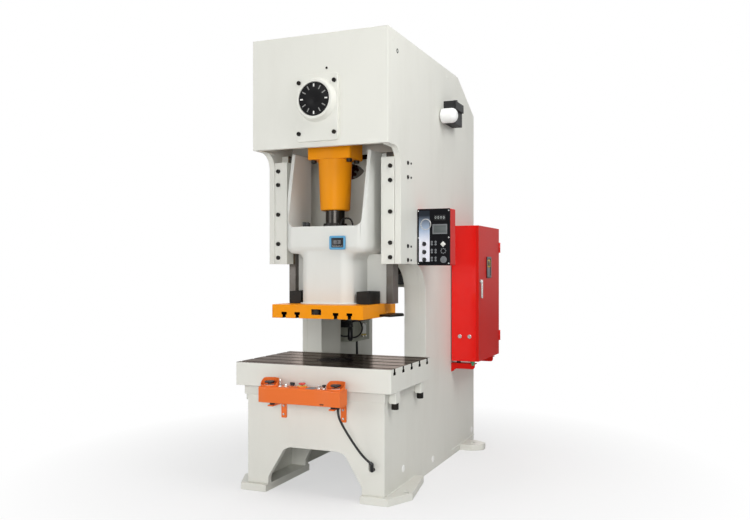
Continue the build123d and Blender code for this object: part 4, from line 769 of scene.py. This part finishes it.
blue_plastic = Finish("blue_plastic", (0.10, 0.33, 0.55), 0.35, specular_ior_level=0.3)
blue_plastic.bump(blue_plastic.noise(900.0), 0.0001, 0.4)
black_plastic = moulded("black_plastic", (0.008, 0.008, 0.009), 0.24, (60.0, 4.0, 0.14), (1200.0, 2.0, 0.00008, 0.4),
                        specular_ior_level=0.35)
ivory = moulded("white_plastic", (0.72, 0.72, 0.68), 0.36, (70.0, 3.0, 0.1), (900.0, 2.0, 0.00005, 0.4))
wheel_grey = moulded("wheel_grey", (0.13, 0.135, 0.14), 0.4, (70.0, 3.0, 0.1), slot="black_plastic")
counter_x, counter_z = 102, 1556
counter = fitting("slide_counter_case", slab_of(rounded(108, 84, 8), 7, 1.2), black_plastic, "slide",
                  (counter_x, -740, counter_z), forward)
fitting("slide_counter_frame", frame_of(rounded(110, 86, 9), rounded(84, 60, 4), 9, 1.5), blue_plastic, "slide",
        (counter_x, -743, counter_z), forward)
wheel = lathe(((0, -11), (27, -11), (28, -10), (28, 10), (27, 11), (0, 11)), 60)
fitting("slide_counter_wheels", joined(*(set_on(wheel.copy(), (x, -721.8, 1560), (1, 0, 0)) for x in (87, 113))),
        wheel_grey, "slide")
screws("slide_counter_scale", block((-0.55, -3, -0.5), (0.55, 3, 0.3), 0.15, 1),
       [(70 + 4 * i, -747, 1535) for i in range(17)], forward, ivory, "slide")
lettered("slide_counter_numbers", "2 8", 17, (100, -749.8, 1560), black_plastic, "slide")
fitting("slide_switch", joined(
    block((-150, -738, 1661), (-128, -718, 1689), 2), block((-126, -736, 1661), (-102, -720, 1685), 2),
    set_on(lathe(((0, 0), (5, 0), (5, 5), (4, 6), (0, 6))), (-114, -728, 1684))), black_plastic, "slide")
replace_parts(counter, "slide_counter")


# Crank angle dial
# A pressed cover with a rolled bezel holds a gloss-black disc that turns with the crank. Printed bars mark the twelve
# stations of the stroke, the four main ones wide and bright, and fine ones every fifth degree at its rim.
eased("dial_cover", cream, 3)
dial_black = moulded("dial_black", (0.0045, 0.0045, 0.005), 0.30, (30.0, 5.0, 0.12), (500.0, 2.0, 0.00004, 0.3),
                     slot="black_plastic", specular_ior_level=0.12)
dial_back, marks_front = -860, -867.2
face = lathe(((0, 0), (103, 0), (103, 6.4), (101.5, 7.6), (94, 7.6), (93, 7.0), (20, 7.0), (18, 7.9), (6, 7.9),
              (5.5, 6.6), (0, 6.4)), 72)
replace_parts(fitting("dial_face", face, dial_black, "crank", (0, dial_back, crank_height), forward), "dial")
dial_marks, given = node_tree(
    "dial_marks", ("Count", "Int", 4), ("Radius", "Float", 0.08), ("Length", "Float", 0.02), ("Width", "Float", 0.01),
    ("Thickness", "Float", 0.0008), ("First", "Float", 0.0))
circle = step(dial_marks, "GeometryNodeMeshCircle", Vertices=given["Count"], Radius=given["Radius"])
around = step(dial_marks, "ShaderNodeCombineXYZ", Z=given["First"])
swung = step(dial_marks, "GeometryNodeTransform", Geometry=circle.outputs[0], Rotation=around.outputs[0])
where = step(dial_marks, "GeometryNodeInputPosition")
outward = step(dial_marks, "FunctionNodeAlignRotationToVector", {"axis": "Y"}, Vector=where.outputs[0])
size = step(dial_marks, "ShaderNodeCombineXYZ", X=given["Width"], Y=given["Length"], Z=given["Thickness"])
bar = step(dial_marks, "GeometryNodeMeshCube", Size=size.outputs[0])
bars = step(dial_marks, "GeometryNodeInstanceOnPoints", Points=swung.outputs[0], Instance=bar.outputs[0],
            Rotation=outward.outputs[0])
whole = step(dial_marks, "GeometryNodeJoinGeometry", Geometry=bars.outputs[0])
upright = step(dial_marks, "GeometryNodeTransform", Geometry=whole.outputs[0], Rotation=(pi / 2, 0, 0),
               Translation=tuple(point(0, marks_front, crank_height)))
gives(dial_marks, upright, given["Finish"])
dim_print = moulded("dial_print_grey", (0.26, 0.26, 0.25), 0.4, (300.0, 2.0, 0.1), slot="white_plastic",
                    specular_ior_level=0.2)
bright_print = moulded("dial_print_white", (0.78, 0.78, 0.75), 0.4, (300.0, 2.0, 0.1), slot="white_plastic")
for marks, finish, sizes in (
    ("main_marks", bright_print, {"Radius": 0.084, "Length": 0.019, "Width": 0.0085}),
    ("hour_marks_1", dim_print, {"Radius": 0.078, "Length": 0.026, "Width": 0.007, "First": pi / 6}),
    ("hour_marks_2", dim_print, {"Radius": 0.078, "Length": 0.026, "Width": 0.007, "First": pi / 3}),
    ("minute_marks", dim_print, {"Count": 72, "Radius": 0.097, "Length": 0.003, "Width": 0.0008}),
):
    grown(f"dial_{marks}", dots([(0, 0, 0)]), dial_marks, sizes, finish, "crank")


# Flywheel drive
# A cast flywheel at the back of the head takes ribbed rubber belts from the motor's pulley below it. Wheel and pulley
# are bare iron, dark with oil, and the motor's finned body and its fan cowl are grey.
cast_iron = worked("cast_iron", (0.062, 0.058, 0.055), 0.5, (2.0, 2.0, 2.0), 0.0004, 0.4)
grey = enamel("grey_paint", (0.19, 0.20, 0.21), 0.4)
eased("flywheel", cast_iron, 2)
eased("motor_pulley", cast_iron, 1)
belt_rubber = moulded("rubber", (0.016, 0.016, 0.016), 0.62, (50.0, 4.0, 0.2), (1500.0, 3.0, 0.0002, 0.6))
eased("drive_belts", belt_rubber, 1)
eased("motor", grey, 1.5)


# Electrical cabinet
# A folded and welded steel box hung on two brackets at the right rear, with its door on lift-off hinges at the back
# edge. It is powder-coated red, and rubber buffers keep the press's shaking from the switchgear.
def powder(name, color, gloss, sheen):
    """Baked powder coat: even, glossy, with a fine orange peel and a film of dust on it."""
    coat = Finish(name, color, gloss, slot="red_paint", specular_ior_level=0.05, coat_weight=sheen, coat_roughness=0.05)
    dust = coat.ramp(coat.noise(4.0, 6.0, (1.0, 1.0, 0.35)), (0.5, 0.0), (0.8, 0.6))
    drift = coat.noise(2.0, 3.0)
    tone = coat.blend(drift, toned(color, 0.93), toned(color, 1.07))
    coat.give(base_color=coat.blend(dust * 0.05, tone, (0.45, 0.36, 0.33)))
    coat.give(roughness=gloss + dust * 0.2 + drift * 0.06)
    return coat.bump(coat.noise(520.0, 2.0), 0.0003, 0.4)


# One red powder coat in two copies: the shell's lighter, glossier red is painted light, and the darker red of the door,
# brackets and panel sides is painted shade.
red = powder("red_paint", (0.60, 0.012, 0.008), 0.34, 0.0)
lit_glossy_red = powder("red_gloss_paint", (0.76, 0.012, 0.009), 0.25, 0.45)
eased("cabinet_shell", lit_glossy_red, 1)
eased("cabinet_door", red, 1)
eased("cabinet_brackets", red, 1.5)
painted("rubber_mounts", belt_rubber)
chrome = worked("plated_steel", (0.62, 0.62, 0.61), 0.16, (6.0, 6.0, 6.0), 0.00003, 0.12, slot="machined_steel")
eased("door_handle", chrome, 1)
lock = lathe((
    (0, -1), (15, -1), (15, 3), (13.5, 4.5), (9, 4.5), (8.4, 3.6), (3.4, 3.6), (3, 1.2, 6), (0, 1.0),
))
fitting("cabinet_locks", joined(*(set_on(lock.copy(), (x, 390, 894), forward) for x in (541, 615))), chrome)
# The window in the door shows a yellow isolator plate with its knob, above a grey meter.
to_right, door_x, window_y, isolator_z = (1, 0, 0), 684, 663.5, 1433
fitting("cabinet_window_frame", frame_of(rounded(123, 162, 8), rounded(84, 124, 5), 7.3, 1.6), black_plastic, "door",
        (door_x + 0.3, window_y, 1402), to_right)
yellow_plastic = moulded("yellow_plastic", (0.80, 0.56, 0.03), 0.32, (60.0, 3.0, 0.1), slot="white_plastic")
fitting("isolator_plate", slab_of(rounded(82, 56, 5), 4, 1), yellow_plastic, "door",
        (door_x, window_y, isolator_z), to_right)
fitting("meter_plate", slab_of(rounded(82, 62, 5), 3, 0.8), grey, "door", (door_x, window_y, 1371), to_right)
turned_disc = lathe(((0, 0), (24, 0), (24, 2), (22, 3), (0, 3)), 36)
fitting("isolator_knob", joined(set_on(turned_disc, (door_x + 3.2, window_y, isolator_z), to_right),
                                block((688, 659, 1415), (690.9, 668, 1451), 1.2)), black_plastic, "door")
connector = lathe(((0, 0), (15, 0), (15, 8), (13, 10, 6), (13, 17, 6), (10, 19), (10, 32), (8, 34), (0, 34)))
green_plastic = moulded("green_plastic", (0.05, 0.22, 0.10), 0.3, (80.0, 3.0, 0.1), slot="black_plastic")
fitting("cabinet_connector", connector, green_plastic, at=(637, 405, 714), facing=(0, 0, -1))


# Control panel
# A sheet-steel box on the right cheek, red at its sides, with a black printed face. A band at the face's left shades
# from near white up to ink blue behind three selectors and a gauge, beside a number display, a screen and buttons.
matte_black = moulded("matte_black_plastic", (0.012, 0.012, 0.013), 0.5, (40.0, 4.0, 0.14),
                      (1600.0, 2.0, 0.00012, 0.6), specular_ior_level=0.35)
# Its red sides take the darker copy of the cabinet's red, which is painted shade.
eased("control_panel", red, 1, inside=matte_black, is_inside=lambda middle, normal: normal.y < -0.5)
face_metal = Finish("panel_print", (0.01, 0.01, 0.01), 0.3, slot="black_plastic", specular_ior_level=0.06)
height = face_metal.node("MapRange", inputs={"Value": face_metal.axis("Z"), "From Min": 1.43, "From Max": 1.775})
across = face_metal.axis("X")
band = face_metal.blend(face_metal.ramp(height, (0.38, 0.0), (0.62, 1.0)), (0.86, 0.86, 0.94), (0.38, 0.47, 0.62))
band = face_metal.blend(face_metal.ramp(height, (0.62, 0.0), (0.90, 1.0)), band, (0.022, 0.027, 0.036))
body_print = face_metal.blend(face_metal.noise(3.0), (0.005, 0.005, 0.006), (0.009, 0.009, 0.011))
in_band = (across > 0.4835) * (across < 0.5576) * (face_metal.axis("Z") > 1.440) * (face_metal.axis("Z") < 1.772)
face_metal.give(base_color=face_metal.blend(in_band, body_print, band))
face_metal.give(roughness=0.27 + face_metal.noise(45.0, 4.0) * 0.1)
face_metal.bump(face_metal.noise(700.0, 2.0), 0.00006, 0.4)
eased("panel_face", face_metal, 0.8)
panel_y = -319


def on_panel(name, shape, x, z, finish, body="frame"):
    """A fitting that stands on the panel's face."""
    return fitting(name, shape, finish, body, (x, panel_y, z), forward)


bezel_steel = worked("bezel_steel", (0.52, 0.52, 0.53), 0.28, (6.0, 6.0, 6.0), 0.00003, 0.15, slot="machined_steel")
gauge = lathe(((0, 0), (37, 0), (37, 1.6), (36, 2.4), (34, 2.4), (33.4, 1.2), (0, 1.2)), 48)
on_panel("panel_gauge_ring", gauge, 531, 1683, bezel_steel)
on_panel("panel_gauge_face", lathe(((0, 1.2), (31, 1.2), (31, 1.6), (0, 1.7)), 48), 531, 1683, face_metal)
screen_x, screen_z, display_x, display_z = 628, 1651, 627, 1725
on_panel("panel_screen_frame", joined(*(block((x0, z0, 0), (x1, z1, 4), 0.8) for x0, x1, z0, z1 in (
    (-50, 50, 24, 32), (-50, 50, -32, -24), (-50, -42, -24, 24), (42, 50, -24, 24)))), screen_x, screen_z, grey)
screen_glass = moulded("screen_glass", (0.11, 0.125, 0.125), 0.25, (40.0, 3.0, 0.08), slot="black_plastic",
                       specular_ior_level=0.3)
on_panel("panel_screen", block((-42, -24, 0), (42, 24, 1.4), 0.3), screen_x, screen_z, screen_glass)
on_panel("panel_display", block((-38, -17.5, 0), (38, 17.5, 2), 0.6), display_x, display_z, black_plastic)
digit_light = moulded("digit_light", (0.40, 0.43, 0.42), 0.3, (200.0, 2.0, 0.1), slot="white_plastic")
lettered("panel_digits", "0 0 0 0", 24, (display_x, panel_y - 2.2, display_z), digit_light)
button = lathe(((0, 0), (7.4, 0), (7.4, 1.6), (5.6, 2.0), (5.6, 4.2), (4.6, 5.0), (0, 5.2)), 20)
panel_buttons = [(x, panel_y, z) for z in (1568, 1552, 1516, 1500, 1465, 1448) for x in (573, 599)]
screws("panel_buttons", button, panel_buttons, forward, grey)
on_panel("panel_diamond_knob", joined(slab_of(((19, 0), (0, 19), (-19, 0), (0, -19)), 3, 1),
                                      lathe(((0, 2), (7, 2), (7, 7), (5.5, 8), (0, 8)))), 650, 1553, ivory)
rosette = [(651.5 + 16 * cos(pi / 4 * i), panel_y, 1509.5 + 16 * sin(pi / 4 * i)) for i in range(8)]
screws("panel_rosette", lathe(((0, 0), (4.2, 0), (4.2, 1.6), (3.2, 2.4), (0, 2.4)), 16), rosette, forward, grey)
sounder = lathe(((0, 0), (22, 0), (22, 2), (20.5, 3), (17, 3), (16.5, 2), (0, 2)), 36)
bars = (block((x0, -12, 1), (x1, 12, 4.4), 0.8) for x0, x1 in ((-9, -5.6), (-1.7, 1.7), (5.6, 9)))
on_panel("panel_sounder", joined(sounder, *bars), 653, 1453, grey)
small_screw = lathe(((0, -0.5), (5, -0.5), (4.6, 1.4), (3.4, 2.2), (2.2, 2.3), (1.9, 1.3, 6), (0, 1.2)), 18)
corners = [(x, panel_y, z) for x in (479, 688) for z in (1429, 1596, 1771)]
screws("panel_screws", small_screw.copy(), corners, forward, chrome)
knob_shape = joined(
    lathe(((0, 0), (14, 0), (14, 3), (12.5, 5), (10.5, 5), (10.5, 14), (0, 14)), 32),
    block((-4, -13.5, 6), (4, 13.5, 25), 1.6),
)
for node, z in (("panel_selector_upper", 1555), ("panel_selector_middle", 1503), ("panel_selector_lower", 1453)):
    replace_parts(on_panel(f"{node}_knob", knob_shape.copy(), 521, z, black_plastic, carrier[node]), node)


# Clutch valve and silencer
# A cast double valve for the clutch sits on the right cheek, black, with a service plug on top. It breathes out
# through a white sintered-plastic silencer with a domed end, screwed into a nipple on the cheek.
eased("valve", matte_black, 1)
sinter = Finish("sintered_plastic", (0.86, 0.87, 0.86), 0.75, slot="white_plastic")
grains = sinter.noise(420.0, 4.0)
sinter.give(base_color=sinter.blend(grains, (0.80, 0.81, 0.80), (0.93, 0.94, 0.93)))
sinter.give(roughness=0.66 + grains * 0.2).bump(grains, 0.0008, 0.7)
eased("silencer", sinter, 1)


# Lubricator
# A pressed oil tank with a hand pump and a clear sight tube hangs at the left rear behind the throat. Two black hoses
# loop from the pump to the tank, and a conduit goes down from it along the leg.
tank = enamel("tank_paint", (0.36, 0.37, 0.31), 0.40, slot="grey_paint")
clear_plastic = Finish("clear_plastic", (0.84, 0.85, 0.84), 0.18)
oil_level = clear_plastic.ramp(clear_plastic.axis("Z"), (0.880, 1.0), (0.884, 0.0))
clear_plastic.give(base_color=clear_plastic.blend(oil_level, (0.82, 0.84, 0.82), (0.62, 0.50, 0.18)))
clear_plastic.give(roughness=0.15 + clear_plastic.noise(60.0, 3.0) * 0.1)
tank_side = -295.5
eased("lubricator", tank, 2, inside=clear_plastic, is_inside=lambda middle, normal: middle.x > tank_side)
pump = lathe(((0, 0), (13, 0), (13, 8), (19, 10), (20, 14), (20, 96), (18, 99), (14, 100), (14, 112), (22, 114),
              (22, 132), (20, 135), (0, 135)), 32)
fitting("lubricator_pump", pump, black_plastic, at=(-318, 319, 836))
fitting("lubricator_cover", joined(block((-434, 336, 980), (-290, 640, 990), 2),
                                   block((-390, 300, 940), (-306, 344, 984), 2)), matte_black)
tube_cap = lathe(((0, -9), (21.5, -9), (21.5, 0), (20, 2), (0, 2)))
fitting("sight_tube_caps", joined(*(set_on(tube_cap.copy(), (-281, 489, z)) for z in (866, 961))), chrome)
pipe("pump_pipe_outer", [(-330, 330, 880), (-300, 300, 862), (-262, 330, 868), (-255, 400, 900), (-262, 420, 960),
                         (-300, 430, 992)], 6, belt_rubber)
pipe("pump_pipe_inner", [(-338, 322, 872), (-372, 300, 868), (-400, 300, 885), (-424, 306, 905), (-436, 320, 960)], 6,
     belt_rubber)
pipe("tank_conduit", [(-310, 420, 830), (-306, 420, 700), (-306, 420, 610)], 9, black_plastic)


# Two-hand station
# A folded steel box on two arms across the front. Each palm button sits in an oval guard that is cut low towards the
# operator. Between them are an emergency stop, a selector, a lamp, a key switch, a socket and a reset button.
station_orange = enamel("station_paint", (0.78, 0.165, 0.032), 0.34, slot="orange_paint")
stop_base_z = 698
eased("station_box", station_orange, 2.5, inside=yellow_plastic,
      is_inside=lambda middle, normal: middle.z > stop_base_z and abs(middle.x) < 30)
eased("station_guards", station_orange, 1.5)
eased("station_brackets", station_orange, 1.5)
station_y, lid_z, palm_x = -1010, 687, 222


def on_station(name, shape, x, z, finish, body="frame"):
    """A fitting on the station's lid, in the one row across it."""
    return fitting(name, shape, finish, body, (x, station_y, z))


def ring(radius):
    """The corners of a circle's outline."""
    return [(radius * cos(pi * i / 24), radius * sin(pi * i / 24)) for i in range(48)]


palm_cap = lathe((
    (0, 0), (12, 0), (12, 5), (27, 5.5), (30.6, 8), (31, 12), (29, 15.6), (22, 17.4), (10, 18), (0, 18),
), 40)
for name, side in sides:
    node = f"palm_button_{name}"
    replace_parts(on_station(f"{node}_cap", palm_cap.copy(), side * palm_x, 701, black_plastic, carrier[node]), node)
palm_rings = (set_on(frame_of(ring(25.5), ring(23.3), 8.6), (side * palm_x, 0, 0)) for side in (-1, 1))
on_station("palm_button_rings", joined(*palm_rings), 0, lid_z, ivory)
red_plastic = moulded("red_plastic", (0.60, 0.016, 0.014), 0.24, (80.0, 3.0, 0.1), coat_weight=0.3)
stop_cap = lathe(((0, 0), (9, 0), (9, 3), (18.6, 3.4), (20, 5.4), (20, 9.5), (18, 12.6), (13, 13.8), (0, 14)), 40)
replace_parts(on_station("emergency_stop_cap", stop_cap, 0, 704, red_plastic, "stop"), "emergency_stop")
selector_knob = joined(lathe(((0, 0), (13, 0), (13, 3), (11.5, 5), (10.5, 5), (10, 12), (0, 12)), 32),
                       block((-15, -5, 5), (15, 5, 18.5), 2))
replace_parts(on_station("station_selector_knob", selector_knob, -66, 697.3, black_plastic, "knob_station"),
            "station_selector")
# One turned ferrule stands under each small fitting between the buttons.
ferrule = lathe(((0, -0.5), (15, -0.5), (15, 2.5), (13.5, 4), (10.5, 4), (10.5, 6.5), (9, 7.5), (0, 7.5)), 32)
screws("station_ferrules", ferrule, [(x, station_y, lid_z) for x in (-150, -110, 112, 146)], (0, 0, 1), chrome)
pilot = lathe(((0, 0), (3, 0), (3, 26), (5, 27.5), (5, 35), (3.5, 38), (0, 38.4)), 20)
on_station("station_pilot_lamp", pilot, -150, lid_z + 6, chrome)
on_station("station_key_switch", lathe(((0, 0), (7, 0), (7, 9), (5.8, 11), (0, 11)), 24), -110, lid_z + 7, chrome)
fitting("station_cover_plate", block((38, -1044, 686.5), (92, -976, 689), 0.8), grey)
on_station("station_socket", lathe(((0, 0), (8.5, 0), (8.5, 12), (6.5, 14), (0, 14)), 20), 112, lid_z + 7, chrome)
mushroom = lathe(((0, 0), (5, 0), (5, 8), (12.5, 8.5), (13.5, 11), (13, 15), (9, 18), (0, 18.6)), 32)
on_station("station_reset_button", mushroom, 146, lid_z + 7, black_plastic)
screws("station_screws", small_screw.copy(), [(x, -1057.5, 677) for x in (-228, 222)], forward, chrome)
fitting("station_latch", slab_of(rounded(26, 8, 3), 1.2, 0.3), black_plastic, at=(155, -1058.8, 604), facing=forward)
arm_heads = [(side * 205, -874, z) for side in (-1, 1) for z in (492, 545)]
screws("arm_screws", cap_head(7, 6, 8), arm_heads, forward, chrome)


# Station cable
# A black rubber cable hangs from the gland under the station, down and across the base plate, into the elbow gland on
# the right leg. It is 14 mm thick and 386 mm long.
painted("cord_glands", black_plastic)
cable_length, cable_thickness = 0.386, 0.014
mouth_way = Vector((-0.77, -0.15, 0.62)).normalized()
mouth = Vector((0.400, -0.892, 0.240)) + mouth_way * 0.016
cable_points = [
    (0.236, -1.010, 0.575), (0.236, -1.010, 0.541), (0.252, -0.996, 0.490), (0.277, -0.974, 0.432),
    (0.303, -0.951, 0.376), (0.329, -0.926, 0.323), tuple(mouth + mouth_way * 0.040), tuple(mouth),
]
cable = tube("station_cable", cable_points, cable_thickness / 2, 16, 6)
cable.data.materials.append(belt_rubber.material)
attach(cable, "frame")
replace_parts(cable, "station_cord")
